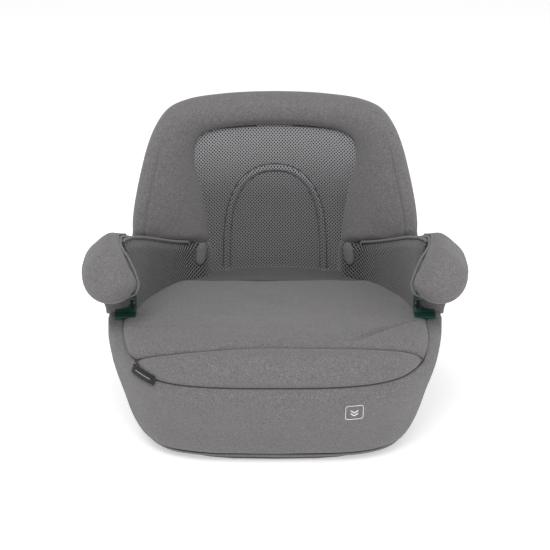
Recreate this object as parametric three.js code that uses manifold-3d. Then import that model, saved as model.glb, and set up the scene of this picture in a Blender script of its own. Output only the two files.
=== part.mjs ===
// A child booster seat with a short bucket back, horn-shaped armrests, green
// lap-belt guides and two retractable anchor connectors at the rear of its base.
// Millimetres, +Z up, the child faces -Y, the origin is on the floor under the middle of the seat.
import * as THREE from "three";
import { mergeVertices } from "three/addons/utils/BufferGeometryUtils.js";
import Module from "manifold-3d";

const wasm = await Module();
wasm.setup();

// Driving dimensions.
const GAP = 0.3; // left between pieces that touch
const SKIRT = 3; // padded fabric over the base shells
const WALL = 3; // moulded wall
const FOOT_H = 3;
const SPLIT_Z = 70; // lower shell to upper shell
const DECK_Z = 107.5; // top of the upper shell
const PAD_Z = 118; // top of the foam sheet, underside of the soft seat
const CREST_Z = 160; // top of the thigh roll
const SEAT_REAR_Z = 134;
const BACK_TOP_Z = 362;
const RING = 36; // points round a base ring
const FRONT_POWER = 3.2; // squareness of the base in plan, front and rear
const REAR_POWER = 5;
const BACK_REST_Y = 137; // front face of the back on the centre line, at the height below
const BACK_REST_Z = 132;
const RECLINE = 0.174; // back travel per unit of height
const BUCKET = 0.0024; // curvature of the back's front face, 1/mm
const REAR_BUCKET = 0.0019; // curvature of the back's rear face, 1/mm
const BACK_DEPTH = 35;
const PAD_DEPTH = 20;
const MESH_RECESS = 8;
const HEM = 6; // rim of the back pad that wraps the foam and the shell
const SLOT_END_Y = -58; // closed end of the lap-belt slot
const SLOT_FLOOR_Z = 152;
const SLOT_ROOF_Z = 178.5;
const HORN_TIP_Y = -148;
const ANCHOR_X = 140; // half the spacing of the vehicle's anchor bars
const ANCHOR_Z = 36;
const ANCHOR_SLOT = 8;

// The value at a position on the straight lines through [position, value] pairs.
function along(points) {
  return (t) => {
    const found = points.findIndex((p) => p[0] >= t);
    const i = found < 0 ? points.length - 1 : Math.max(found, 1);
    const [[t0, v0], [t1, v1]] = [points[i - 1], points[i]];
    const s = Math.min(Math.max((t - t0) / (t1 - t0), 0), 1);
    return v0 + (v1 - v0) * s;
  };
}

// The two ends of a run and every breakpoint between them.
const breaks = (points, from, to) => [
  from,
  ...points.map((p) => p[0]).filter((t) => t > from + 0.5 && t < to - 0.5),
  to,
];

// The padded base, bottom to top: height, half width, front, rear.
const BASE_PROFILE = [
  [3, 152, -160, 160],
  [20, 165, -171, 164],
  [45, 179, -186, 169],
  [72, 190, -200, 172],
  [95, 197, -209, 175],
  [112, 201, -212, 176],
  [130, 203, -211, 177],
  [150, 203, -204, 178],
  [168, 200, -190, 178],
];
const profile = (column) => along(BASE_PROFILE.map((row) => [row[0], row[column]]));
const halfWidth = profile(1);
const frontY = profile(2);
const rearY = profile(3);
const levels = (z0, z1) => breaks(BASE_PROFILE, z0, z1);

// Inner face of the side wall and top of the armrest, against y.
const WALL_LINE = [[-60, 168], [-30, 163], [0, 157], [40, 145], [77, 131], [105, 118], [130, 104]];
const wallX = along(WALL_LINE);
const ARM_LINE = [[-148, 236], [-136, 249], [-120, 257], [-80, 260], [-30, 244], [40, 218], [110, 190]];
const armTopZ = along(ARM_LINE);

// Front and rear faces of the back.
const backLine = (z) => BACK_REST_Y + RECLINE * (z - BACK_REST_Z);
const backFront = (x, z) => backLine(z) - BUCKET * x * x;
const backRear = (x, z) => backLine(z) + BACK_DEPTH - REAR_BUCKET * x * x;

// Signed volume of an indexed triangle list.
function signedVolume(positions, index) {
  let sum = 0;
  const [a, b, c] = [new THREE.Vector3(), new THREE.Vector3(), new THREE.Vector3()];
  for (let i = 0; i < index.length; i += 3) {
    a.fromArray(positions, index[i] * 3);
    b.fromArray(positions, index[i + 1] * 3);
    c.fromArray(positions, index[i + 2] * 3);
    sum += a.dot(b.cross(c));
  }
  return sum;
}

// A closed geometry through rings of equal length. Its ends are capped by fans, or, when
// looped, the last ring joins the first. Each cell is split along its shorter diagonal, so
// two lofts on the same rings have the same facets.
function loft(rings, looped = false) {
  const n = rings[0].length;
  const points = rings.flat();
  const positions = points.flatMap((p) => [p.x, p.y, p.z]);
  const index = [];
  const spans = looped ? rings.length : rings.length - 1;
  for (let i = 0; i < spans; i++) {
    const next = ((i + 1) % rings.length) * n;
    for (let j = 0; j < n; j++) {
      const k = (j + 1) % n;
      const [a, b, c, d] = [i * n + j, i * n + k, next + k, next + j];
      const shorter = points[a].distanceTo(points[c]) < points[b].distanceTo(points[d]) - 1e-6;
      index.push(...(shorter ? [a, b, c, a, c, d] : [a, b, d, b, c, d]));
    }
  }
  if (!looped) {
    const ends = [[0, true], [rings.length - 1, false]];
    for (const [r, first] of ends) {
      const middle = rings[r]
        .reduce((sum, p) => sum.add(p), new THREE.Vector3())
        .divideScalar(n);
      const m = positions.length / 3;
      positions.push(middle.x, middle.y, middle.z);
      for (let j = 0; j < n; j++) {
        const [a, b] = [r * n + j, r * n + ((j + 1) % n)];
        index.push(...(first ? [m, b, a] : [m, a, b]));
      }
    }
  }
  if (signedVolume(positions, index) < 0) index.reverse();
  const g = new THREE.BufferGeometry();
  g.setAttribute("position", new THREE.Float32BufferAttribute(positions, 3));
  g.setIndex(index);
  return g;
}

// Between three.js geometries and solids that can be cut and joined.
function solid(geometry) {
  const bare = geometry.clone();
  bare.deleteAttribute("normal");
  bare.deleteAttribute("uv");
  const merged = mergeVertices(bare, 1e-3);
  return new wasm.Manifold(
    new wasm.Mesh({
      numProp: 3,
      vertProperties: new Float32Array(merged.attributes.position.array),
      triVerts: new Uint32Array(merged.index.array),
    }),
  );
}

function geometryOf(body) {
  const mesh = body.getMesh();
  const g = new THREE.BufferGeometry();
  g.setAttribute("position", new THREE.Float32BufferAttribute(mesh.vertProperties, 3));
  g.setIndex(Array.from(mesh.triVerts));
  return g;
}

const cut = (geometry, ...tools) =>
  geometryOf(tools.reduce((body, tool) => body.subtract(solid(tool)), solid(geometry)));
const join = (geometry, ...more) =>
  geometryOf(more.reduce((body, extra) => body.add(solid(extra)), solid(geometry)));
const common = (a, b) => geometryOf(solid(a).intersect(solid(b)));

// Plain shapes.
function block([x0, x1], [y0, y1], [z0, z1]) {
  const g = new THREE.BoxGeometry(x1 - x0, y1 - y0, z1 - z0);
  return g.translate((x0 + x1) / 2, (y0 + y1) / 2, (z0 + z1) / 2);
}

const AXIS_TURN = {
  x: new THREE.Matrix4().makeRotationZ(-Math.PI / 2),
  y: new THREE.Matrix4(),
  z: new THREE.Matrix4().makeRotationX(Math.PI / 2),
};

// A cylinder along an axis, from one end to the other on that axis.
function rod(axis, radius, [u, v], [from, to], sides = 16) {
  const g = new THREE.CylinderGeometry(radius, radius, to - from, sides);
  g.applyMatrix4(AXIS_TURN[axis]);
  const middle = (from + to) / 2;
  const place = { x: [middle, u, v], y: [u, middle, v], z: [u, v, middle] }[axis];
  return g.translate(...place);
}

// A [y, z] outline extruded along x.
function plateX(outline, x0, x1) {
  const shape = new THREE.Shape(outline.map(([y, z]) => new THREE.Vector2(y, z)));
  const g = new THREE.ExtrudeGeometry(shape, { depth: x1 - x0, bevelEnabled: false });
  const turn = new THREE.Matrix4().makeBasis(
    new THREE.Vector3(0, 1, 0),
    new THREE.Vector3(0, 0, 1),
    new THREE.Vector3(1, 0, 0),
  );
  return g.applyMatrix4(turn).translate(x0, 0, 0);
}

// An [x, y] outline extruded up.
function plateZ(outline, z0, z1) {
  const shape = new THREE.Shape(outline.map(([x, y]) => new THREE.Vector2(x, y)));
  const g = new THREE.ExtrudeGeometry(shape, { depth: z1 - z0, bevelEnabled: false });
  return g.translate(0, 0, z0);
}

const steps = (from, to, count) =>
  Array.from({ length: count + 1 }, (_, i) => from + ((to - from) * i) / count);

// One ring of the base at a height, set in from the padded surface.
function baseRing(z, inset, share = 1, top = null) {
  const half = (halfWidth(z) - inset) * share;
  return Array.from({ length: RING }, (_, i) => {
    const a = (2 * Math.PI * i) / RING;
    const front = Math.sin(a) < 0;
    const reach = ((front ? -frontY(z) : rearY(z)) - inset) * share;
    const power = 2 / (front ? FRONT_POWER : REAR_POWER);
    const bent = (v) => Math.sign(v) * Math.abs(v) ** power;
    const [x, y] = [half * bent(Math.cos(a)), reach * bent(Math.sin(a))];
    return new THREE.Vector3(x, y, top ? top(x, y) : z);
  });
}

// The right half of two outlines seen from the front, bottom to top: the back and its mesh panel.
const BACK_SIDE = [
  [184, 108], [185, 150], [183, 190], [179, 226], [175, 251], [169, 280], [162, 309], [152, 334],
  [139, 350], [118, 357.5], [70, 361], [0, BACK_TOP_Z],
];
const MESH_SIDE = [[88, 140], [93, 190], [103, 240], [107, 285], [104, 310], [92, 327], [70, 333], [0, 334]];
const OUTLINE_STEPS = 14;
const BACK_MIDDLE = new THREE.Vector3(0, 0, 235);

function backOutline(side) {
  const curve = new THREE.CatmullRomCurve3(
    side.map(([x, z]) => new THREE.Vector3(x, 0, z)),
    false,
    "centripetal",
  );
  const half = curve.getSpacedPoints(OUTLINE_STEPS);
  const mirrored = half.slice(0, -1).reverse().map((p) => new THREE.Vector3(-p.x, 0, p.z));
  const [x, z] = side[0];
  const bottom = steps(-x, x, 6).slice(1, -1).map((v) => new THREE.Vector3(v, 0, z));
  return [...half, ...mirrored, ...bottom];
}
const scaled = (ring, share) =>
  ring.map((p) => p.clone().sub(BACK_MIDDLE).multiplyScalar(share).add(BACK_MIDDLE));
const moved = (ring, outward) =>
  ring.map((p) => {
    const arm = p.clone().sub(BACK_MIDDLE);
    return arm.multiplyScalar(1 + outward / arm.length()).add(BACK_MIDDLE);
  });

// Every layer of the back is built on the same nest of rings, so that their faces match.
const outer = backOutline(BACK_SIDE);
const hem = moved(outer, -HEM);
const inner = backOutline(MESH_SIDE);
const middle = inner.map((p, i) => p.clone().lerp(hem[i], 0.5));
const core = scaled(inner, 0.15);
const half = scaled(inner, 0.6);

// Rings laid on a face y(x, z).
const laid = (face, rings) =>
  rings.map((ring) => ring.map((p) => new THREE.Vector3(p.x, face(p.x, p.z), p.z)));
const behind = (face, offset) => (x, z) => face(x, z) + offset;
const sheet = (front, rear, rings) => loft([...laid(front, rings), ...laid(rear, [...rings].reverse())]);

// The space behind the front of the back, which trims whatever meets it.
const beyond = moved(outer, 30).map((p) => new THREE.Vector3(p.x, 0, Math.max(p.z, DECK_Z + 0.2)));
const backSpace = sheet(behind(backFront, -GAP), behind(backRear, 60), [
  core, half, inner, middle, hem, outer, beyond,
]);

// Materials.
const finish = (color, roughness, metalness = 0) =>
  new THREE.MeshStandardMaterial({ color, roughness, metalness });
const MATERIAL = {
  melange: finish(0x7c7a7c, 0.95),
  mesh: finish(0x58585b, 0.9),
  gusset: finish(0x4f4c4f, 0.95),
  shell: finish(0x26272a, 0.55),
  foam: finish(0xd8d7d2, 0.9),
  guide: finish(0x14503f, 0.4),
  steel: finish(0x9fa2a6, 0.35, 0.9),
  rubber: finish(0x1a1a1b, 0.85),
  label: finish(0x151517, 0.8),
  button: finish(0xa3271f, 0.45),
  print: finish(0xd9dadb, 0.8),
};

const seat = new THREE.Group();
function add(name, geometry, material) {
  const mesh = new THREE.Mesh(geometry, material);
  mesh.name = name;
  seat.add(mesh);
  return mesh;
}

const SIDES = [["left", -1], ["right", 1]];
// A geometry made for the right side, or its mirror image.
function onSide(sign, geometry) {
  if (sign > 0) return geometry;
  const g = geometry.clone().scale(-1, 1, 1);
  const flat = g.index ? g.toNonIndexed() : g;
  const p = flat.attributes.position.array;
  for (let i = 0; i < p.length; i += 9)
    for (let k = 0; k < 3; k++) [p[i + 3 + k], p[i + 6 + k]] = [p[i + 6 + k], p[i + 3 + k]];
  const bare = new THREE.BufferGeometry();
  bare.setAttribute("position", new THREE.Float32BufferAttribute(p, 3));
  return mergeVertices(bare, 1e-4);
}

// ---- Lower shell: a tray with openings for the connectors and the adjuster ----
const TRAY_INSET = SKIRT + GAP + 0.1;
const BOSS_PLACES = [[95, -118], [95, 128]];
const HOUSING = { half: 13, y: [88, 172], z: [18, 54] };
const RAIL = { y: [-75, 84], z: [21.5, 50.5] };
const FLOOR_Z = FOOT_H + WALL + 0.5;

const hull = (z0, z1, inset) => levels(z0, z1).map((z) => baseRing(z, inset));

function baseTray() {
  const rim = SPLIT_Z - GAP;
  const inside = hull(FLOOR_Z, rim, TRAY_INSET + WALL).reverse();
  const supports = [block([-8, 8], [-68, -63], [FOOT_H + WALL, 24])];
  const openings = [block([-50, 50], [-146, -94], [0, 9])];
  for (const [, sign] of SIDES) {
    for (const y of [-40, 20, 76]) {
      const rib = block([132, 150], [y - 4, y + 4], [FOOT_H + WALL, RAIL.z[0] - GAP]);
      supports.push(onSide(sign, rib));
    }
    const mouth = block([ANCHOR_X - 17, ANCHOR_X + 17], [86, 200], [14, 63.5]);
    openings.push(onSide(sign, mouth));
    for (const [x, y] of BOSS_PLACES) {
      const at = [sign * x, y];
      supports.push(rod("z", 7.5, at, [FOOT_H + WALL, rim], 14));
      openings.push(rod("z", 2.4, at, [0, SPLIT_Z + 1], 10), rod("z", 5.4, at, [0, 9], 14));
    }
  }
  return cut(join(loft([...hull(FOOT_H, rim, TRAY_INSET), ...inside]), ...supports), ...openings);
}

// ---- Upper shell: an upturned tray whose top is the deck under the seat ----
function seatShell() {
  const ceiling = DECK_Z - WALL - 0.5;
  const inside = hull(SPLIT_Z, ceiling, TRAY_INSET + WALL).reverse();
  const bosses = [];
  const bores = [];
  for (const [, sign] of SIDES)
    for (const [x, y] of BOSS_PLACES) {
      bosses.push(rod("z", 7.5, [sign * x, y], [SPLIT_Z, ceiling + 1], 14));
      bores.push(rod("z", 2.4, [sign * x, y], [SPLIT_Z - 1, 92], 10));
    }
  return cut(join(loft([...inside, ...hull(SPLIT_Z, DECK_Z, TRAY_INSET)]), ...bosses), ...bores);
}

// ---- Seat: foam sheet, cushion, thigh roll and skirt ----
const seatLine = along([
  [-206, 138], [-200, 149], [-192, 156], [-182, CREST_Z - 1], [-165, CREST_Z], [-60, 150],
  [40, 142], [130, SEAT_REAR_Z],
]);
const seatTop = (x, y) => seatLine(y) - 6 * Math.max((Math.abs(x) - 90) / 110, 0) ** 2;
// The seam between cushion and thigh roll, seen from above.
const ROLL_SEAM = [[0, -182], [60, -181], [100, -177], [130, -170], [160, -153], [205, -122]];

// The plan area where the side walls and armrests stand.
function besideWell(clearance) {
  const ys = breaks(WALL_LINE, SLOT_END_Y - clearance, 150);
  const edge = ys.map((y) => [wallX(y) - clearance, y]);
  return plateZ([...edge, [240, 150], [240, ys[0]]], PAD_Z - 12, 300);
}
const wellSides = SIDES.map(([, sign]) => onSide(sign, besideWell(GAP)));
const slotFloors = SIDES.map(([, sign]) =>
  onSide(sign, block([150, 240], [-112, SLOT_END_Y + 2], [SLOT_FLOOR_Z - 1.5, 300])),
);

// Everything in front of the roll seam, moved by a clearance.
function aheadOfSeam(clearance) {
  const right = ROLL_SEAM.map(([x, y]) => [x, y + clearance]);
  const left = right.slice(1).reverse().map(([x, y]) => [-x, y]);
  return plateZ([[-205, -300], [205, -300], ...[...right].reverse(), ...left.reverse()], 100, 200);
}

function seatDome() {
  const inset = SKIRT + GAP;
  const shares = [0.985, 0.93, 0.8, 0.55, 0.25];
  return loft([
    ...hull(PAD_Z + GAP, 130, inset),
    ...shares.map((share) => baseRing(140, inset, share, seatTop)),
  ]);
}
function seatCushion() {
  const behindSeat = block([-150, 150], [112, 300], [100, 200]);
  return cut(seatDome(), behindSeat, aheadOfSeam(GAP / 2), backSpace, ...wellSides, ...slotFloors);
}
const thighRoll = () => common(seatDome(), aheadOfSeam(-GAP / 2));
function seatFoam() {
  const slab = loft([DECK_Z + GAP, PAD_Z].map((z) => baseRing(z, 9)));
  return cut(slab, backSpace, ...wellSides);
}
function backGusset() {
  const strip = block([-112, 112], [112 + GAP, 150], [PAD_Z + GAP, 137]);
  return cut(strip, backSpace, ...wellSides);
}

function coverSkirt() {
  const top = SLOT_FLOOR_Z - 2;
  const sheath = loft([...hull(5, top, 0), ...hull(5, top, SKIRT).reverse()], true);
  const lowFront = block([-300, 300], [-300, -118], [PAD_Z, 300]);
  const lowRear = block([-300, 300], [60, 300], [DECK_Z, 300]);
  const rearWindow = block([-162, 162], [100, 300], [0, 66]);
  return cut(sheath, lowFront, lowRear, rearWindow, backSpace);
}

// A thin piece lying on the skirt, inside a block.
function onSkirt(thickness, inside) {
  const [z0, z1] = [60, 130];
  const near = hull(z0, z1, -GAP);
  const far = hull(z0, z1, -GAP - thickness);
  return common(loft([...near, ...far.reverse()], true), inside);
}
const wovenLabel = () =>
  onSkirt(1, block([-18, 18], [-14, 14], [-4.5, 4.5]).rotateZ(-0.67).translate(-152, -182, 111.5));
const printedPatch = () => onSkirt(0.6, block([80, 103], [-230, -150], [73, 93]));

// ---- Side walls and armrests ----
const WALL_T = 10;
const CHEEK_DROP = 14; // top of the moulded cheek below the top of the armrest
const CHEEK_REAR_Y = 125;

// A band of the plan between two x(y) curves, up to a top z(y).
function sideBand(x0, x1, [y0, y1], bottom, top) {
  const ys = [...new Set([...breaks(WALL_LINE, y0, y1), ...breaks(ARM_LINE, y0, y1)])];
  const ring = (y) =>
    [[x0(y), bottom], [x1(y), bottom], [x1(y), top(y)], [x0(y), top(y)]].map(
      ([x, z]) => new THREE.Vector3(x, y, z),
    );
  return loft(ys.sort((a, b) => a - b).map(ring));
}

function sideMesh() {
  const outerX = (y) => wallX(y) + WALL_T;
  const top = (y) => armTopZ(y) - 4;
  return cut(sideBand(wallX, outerX, [SLOT_END_Y, CHEEK_REAR_Y], PAD_Z + GAP, top), backSpace);
}

// The moulded cheek, grown by a clearance when it is used to hollow out the cover.
function cheek(clearance) {
  const band = sideBand(
    (y) => wallX(y) + WALL_T + GAP - clearance,
    () => 240,
    [SLOT_END_Y + 5 - clearance, CHEEK_REAR_Y],
    DECK_Z + GAP,
    (y) => armTopZ(y) - CHEEK_DROP + clearance,
  );
  return common(band, loft(hull(DECK_Z, 270, SKIRT + GAP - clearance)));
}
function horn(clearance) {
  const grown = ([a, b]) => [a - clearance, b + clearance];
  return block(grown([178, 192]), grown([HORN_TIP_Y + 20, SLOT_END_Y + 12]), grown([196, 238]));
}
const armrestCore = () => cut(join(cheek(0), horn(0)), backSpace);

// Armrest cover sections: y, inner x, outer x, lowest z.
const ARM_SECTIONS = [
  [-148, 186, 206, 214],
  [-144, 178, 214, 198],
  [-136, 171, 221, 188],
  [-120, 166, 226, 181],
  [-100, 164, 228, SLOT_ROOF_Z],
  [-75, 163.5, 227.5, SLOT_ROOF_Z],
  [SLOT_END_Y, 163, 226, SLOT_FLOOR_Z],
  [-20, 157, 219, SLOT_FLOOR_Z],
  [30, 149, 213, SLOT_FLOOR_Z],
  [75, 136, 209, SLOT_FLOOR_Z],
  [118, 118, 206, SLOT_FLOOR_Z],
];
const ARM_SIDES = 16;
function armrestCover() {
  const rings = ARM_SECTIONS.map(([y, inside, outside, low]) => {
    const middle = new THREE.Vector3((inside + outside) / 2, y, (armTopZ(y) + low) / 2);
    const [rx, rz] = [(outside - inside) / 2, (armTopZ(y) - low) / 2];
    return Array.from({ length: ARM_SIDES }, (_, i) => {
      const a = (2 * Math.PI * i) / ARM_SIDES;
      const square = (v) => Math.sign(v) * Math.abs(v) ** (2 / 2.8);
      const arm = new THREE.Vector3(rx * square(Math.cos(a)), 0, rz * square(Math.sin(a)));
      return arm.add(middle);
    });
  });
  const wall = sideBand(
    () => 60,
    (y) => wallX(y) + WALL_T + GAP,
    [SLOT_END_Y - GAP, 140],
    100,
    () => 300,
  );
  const slot = block([100, 240], [-200, SLOT_END_Y], [100, SLOT_ROOF_Z]);
  const underside = block([100, 240], [-200, 200], [100, SLOT_FLOOR_Z]);
  return cut(loft(rings), wall, slot, underside, cheek(GAP), horn(GAP), backSpace);
}

// ---- Green lap-belt guide: a channel open to the front that lines the slot's closed end ----
function beltGuide() {
  const [y0, y1] = [-82, SLOT_END_Y - GAP];
  const [z0, z1] = [SLOT_FLOOR_Z, SLOT_ROOF_Z - GAP];
  const t = 2.6;
  const outline = [
    [y0, z0], [y1, z0], [y1, z1], [y1 - 22, z1], [y1 - 22, z1 - t], [y1 - t - 4, z1 - t],
    [y1 - t, z1 - t - 4], [y1 - t, z0 + t + 4], [y1 - t - 4, z0 + t], [y0, z0 + t],
  ];
  return plateX(outline, 167, 193);
}

// ---- Back ----
const SHELL_T = 4.5;
const SCREW_PLACES = [[105, 150], [105, 300]];
const screwHoles = (radius, depth) =>
  SIDES.flatMap(([, sign]) =>
    SCREW_PLACES.map(([x, z]) => {
      const y = backRear(x, z);
      return rod("y", radius, [sign * x, z], [y - depth, y + 10], 12);
    }),
  );
const inHem = [core, half, inner, middle, moved(hem, -GAP)];

function backShell() {
  const plate = sheet(behind(backRear, -SHELL_T), backRear, inHem);
  return cut(plate, ...screwHoles(5.2, 3), ...screwHoles(2.1, 30));
}
function backFoam() {
  const front = behind(backFront, PAD_DEPTH + GAP);
  const slab = sheet(front, behind(backRear, -SHELL_T - GAP), inHem);
  return cut(slab, ...screwHoles(2.1, 16));
}
function backPad() {
  const under = behind(backFront, PAD_DEPTH);
  return loft(
    [
      ...laid(backFront, [inner, middle, hem, outer]),
      ...laid(backRear, [outer, hem]),
      ...laid(under, [hem, middle, inner]),
    ],
    true,
  );
}
function backMesh() {
  const rings = [core, half, moved(inner, -2 * GAP)];
  return sheet(behind(backFront, MESH_RECESS), behind(backFront, PAD_DEPTH), rings);
}

// ---- Anchor carriage ----
const NOTCH = { count: 7, pitch: 16, width: 6, depth: 5, first: -8 };
const HOOK = { y: 149, z: 26.5, eye: 5, reach: 18, half: 3, hole: 2.3, pin: 2 };
const ARM_Y = [-112, 168];
const ARM_Z = [24, 48];
const JAW_Y = 138;
const jaw = [ANCHOR_Z - ANCHOR_SLOT / 2, ANCHOR_Z + ANCHOR_SLOT / 2];
const hookHole = () => rod("x", HOOK.hole, [HOOK.y, HOOK.z], [120, 160], 12);

function anchorArm() {
  const top = [];
  for (let i = 0; i < NOTCH.count; i++) {
    const y = NOTCH.first - NOTCH.pitch * i;
    const [a, b] = [y + NOTCH.width / 2, y - NOTCH.width / 2];
    const floor = ARM_Z[1] - NOTCH.depth;
    top.push([a, ARM_Z[1]], [a, floor], [b, floor], [b, ARM_Z[1]]);
  }
  const outline = [
    [ARM_Y[0], ARM_Z[0]], [ARM_Y[1], ARM_Z[0]], [ARM_Y[1], jaw[0]], [JAW_Y, jaw[0]],
    [JAW_Y, jaw[1]], [ARM_Y[1], jaw[1]], [ARM_Y[1], ARM_Z[1]], ...top, [ARM_Y[0], ARM_Z[1]],
  ];
  return cut(plateX(outline, ANCHOR_X - 4, ANCHOR_X), hookHole());
}

function connectorHousing() {
  const [y0, y1] = HOUSING.y;
  const [z0, z1] = HOUSING.z;
  const c = 5;
  const outline = [[y0, z0], [y1 - c, z0], [y1, z0 + c], [y1, z1 - c], [y1 - c, z1], [y0, z1]];
  const channel = [ANCHOR_X - 4.3, ANCHOR_X + 4.2];
  return cut(
    plateX(outline, ANCHOR_X - HOUSING.half, ANCHOR_X + HOUSING.half),
    block(channel, [y0 - 1, 131], [ARM_Z[0] - GAP, ARM_Z[1] + GAP]),
    block(channel, [130, y1 + 1], [20.5, 51.5]),
    block([ANCHOR_X - 20, ANCHOR_X + 20], [JAW_Y, y1 + 1], jaw),
    block([ANCHOR_X - 3.6, ANCHOR_X + 3.6], [111, 130], [ARM_Z[1], z1 + 1]),
    hookHole(),
  );
}

// The hook lies open below the jaw and swings up behind the vehicle's bar.
function latchHook() {
  const xs = [ANCHOR_X + 0.4, ANCHOR_X + 3.8];
  const tip = HOOK.y + HOOK.reach;
  const claw = block(xs, [HOOK.y, tip], [HOOK.z - HOOK.half, HOOK.z + HOOK.half]);
  const eye = rod("x", HOOK.eye, [HOOK.y, HOOK.z], xs, 16);
  const nib = plateX([[tip - 5, HOOK.z - 1], [tip, HOOK.z - 1], [tip, HOOK.z + 4.8]], ...xs);
  return cut(join(claw, eye, nib), hookHole());
}

function releaseButton() {
  const [y0, y1] = [112, 134];
  const outline = [[y0, 54.3], [y1, 54.3], [y1, 57], [y1 - 3, 59.5], [y0, 59.5]];
  const cap = plateX(outline, ANCHOR_X - 8, ANCHOR_X + 8);
  const ridges = [115, 119, 123].map((y) =>
    block([ANCHOR_X - 6, ANCHOR_X + 6], [y, y + 1.6], [59, 60.6]),
  );
  const stem = block([ANCHOR_X - 3, ANCHOR_X + 3], [119, 128], [49.5, 55]);
  return join(cap, ...ridges, stem);
}

// ---- Guide rails, lock bar and adjuster ----
const LOCK = { reach: 144, half: 5, z: [53, 63] };
function guideRail() {
  const [z0, z1] = RAIL.z;
  const t = 2;
  const run = (x0, x1, low, high) => block([ANCHOR_X + x0, ANCHOR_X + x1], RAIL.y, [low, high]);
  const flanges = [
    run(-7, 6, z0, z0 + t),
    run(-7, 6, z1 - t, z1),
    run(-7, -4.6, z0 + 1, z0 + t + 3.5),
    run(-7, -4.6, z1 - t - 3.5, z1 - 1),
  ];
  const posts = [[-11, -6.4], [6.4, 11]].map((y) =>
    block([ANCHOR_X - 6, ANCHOR_X + 5], y, [z1 - 1, 76]),
  );
  const window = block([ANCHOR_X - 8, ANCHOR_X + 3.5], [-6.4, 6.4], [z1 - t - 4, z1 + 1]);
  return cut(join(run(4, 6.5, z0, z1), ...flanges, ...posts), window);
}

function lockBar() {
  const bar = block([-LOCK.reach, LOCK.reach], [-LOCK.half, LOCK.half], LOCK.z);
  const prongs = SIDES.map(([, sign]) =>
    onSide(sign, block([ANCHOR_X - 4.2, ANCHOR_X + 0.2], [-3, 3], [ARM_Z[1] + 0.6, LOCK.z[0] + 1])),
  );
  const notch = block([-14, 14], [3, 6], [LOCK.z[0] - 1, LOCK.z[0] + 5]);
  return cut(join(bar, ...prongs), notch);
}

function adjusterHandle() {
  const grip = rod("x", 5, [-132, 14], [-44, 44], 12);
  const legs = [-44, 38].map((x) => block([x, x + 6], [-132, -98], [11, 17]));
  const foot = block([-44, 44], [-101, -97], [9.5, 20]);
  const riser = block([-28, 28], [-101, -97], [18, 51]);
  const bridge = block([-28, 28], [-101, 22], [48, 51]);
  const wedge = plateX([[5.6, 50], [20, 50], [20, 57], [16, 57], [5.6, 52]], -10, 10);
  return join(grip, ...legs, foot, riser, bridge, wedge);
}

// A coil of wire along y.
function coil(radius, wire, turns, length) {
  const points = steps(0, turns, turns * 8).map((t) => {
    const a = 2 * Math.PI * t;
    return new THREE.Vector3(radius * Math.cos(a), (length * t) / turns, radius * Math.sin(a));
  });
  const corner = (i) => (2 * Math.PI * i) / 6;
  const section = new THREE.Shape(
    steps(0, 5, 5).map((i) => new THREE.Vector2(wire * Math.cos(corner(i)), wire * Math.sin(corner(i)))),
  );
  const extrudePath = new THREE.CatmullRomCurve3(points);
  return new THREE.ExtrudeGeometry(section, { steps: points.length, extrudePath, bevelEnabled: false });
}

// ---- Assembly ----
add("base_tray", baseTray(), MATERIAL.shell);
add("seat_shell", seatShell(), MATERIAL.shell);
add("seat_foam", seatFoam(), MATERIAL.foam);
add("seat_cushion", seatCushion(), MATERIAL.melange);
add("thigh_roll", thighRoll(), MATERIAL.melange);
add("cover_skirt", coverSkirt(), MATERIAL.melange);
add("back_gusset", backGusset(), MATERIAL.gusset);
add("back_shell", backShell(), MATERIAL.shell);
add("back_foam", backFoam(), MATERIAL.foam);
add("back_pad", backPad(), MATERIAL.melange);
add("back_mesh_panel", backMesh(), MATERIAL.mesh);
const tubeEnd = ANCHOR_X - 4 - GAP;
const tube = cut(
  rod("x", 8, [-85, ANCHOR_Z], [-tubeEnd, tubeEnd], 16),
  rod("x", 6, [-85, ANCHOR_Z], [-tubeEnd - 1, tubeEnd + 1], 16),
);
add("cross_tube", tube, MATERIAL.steel);
add("lock_bar", lockBar(), MATERIAL.steel);
add("adjuster_handle", adjusterHandle(), MATERIAL.button);
add("adjuster_spring", coil(4, 0.7, 6, 27).translate(0, -95.8, 15.5), MATERIAL.steel);
add("woven_label", wovenLabel(), MATERIAL.label);
add("printed_patch", printedPatch(), MATERIAL.print);

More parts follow.
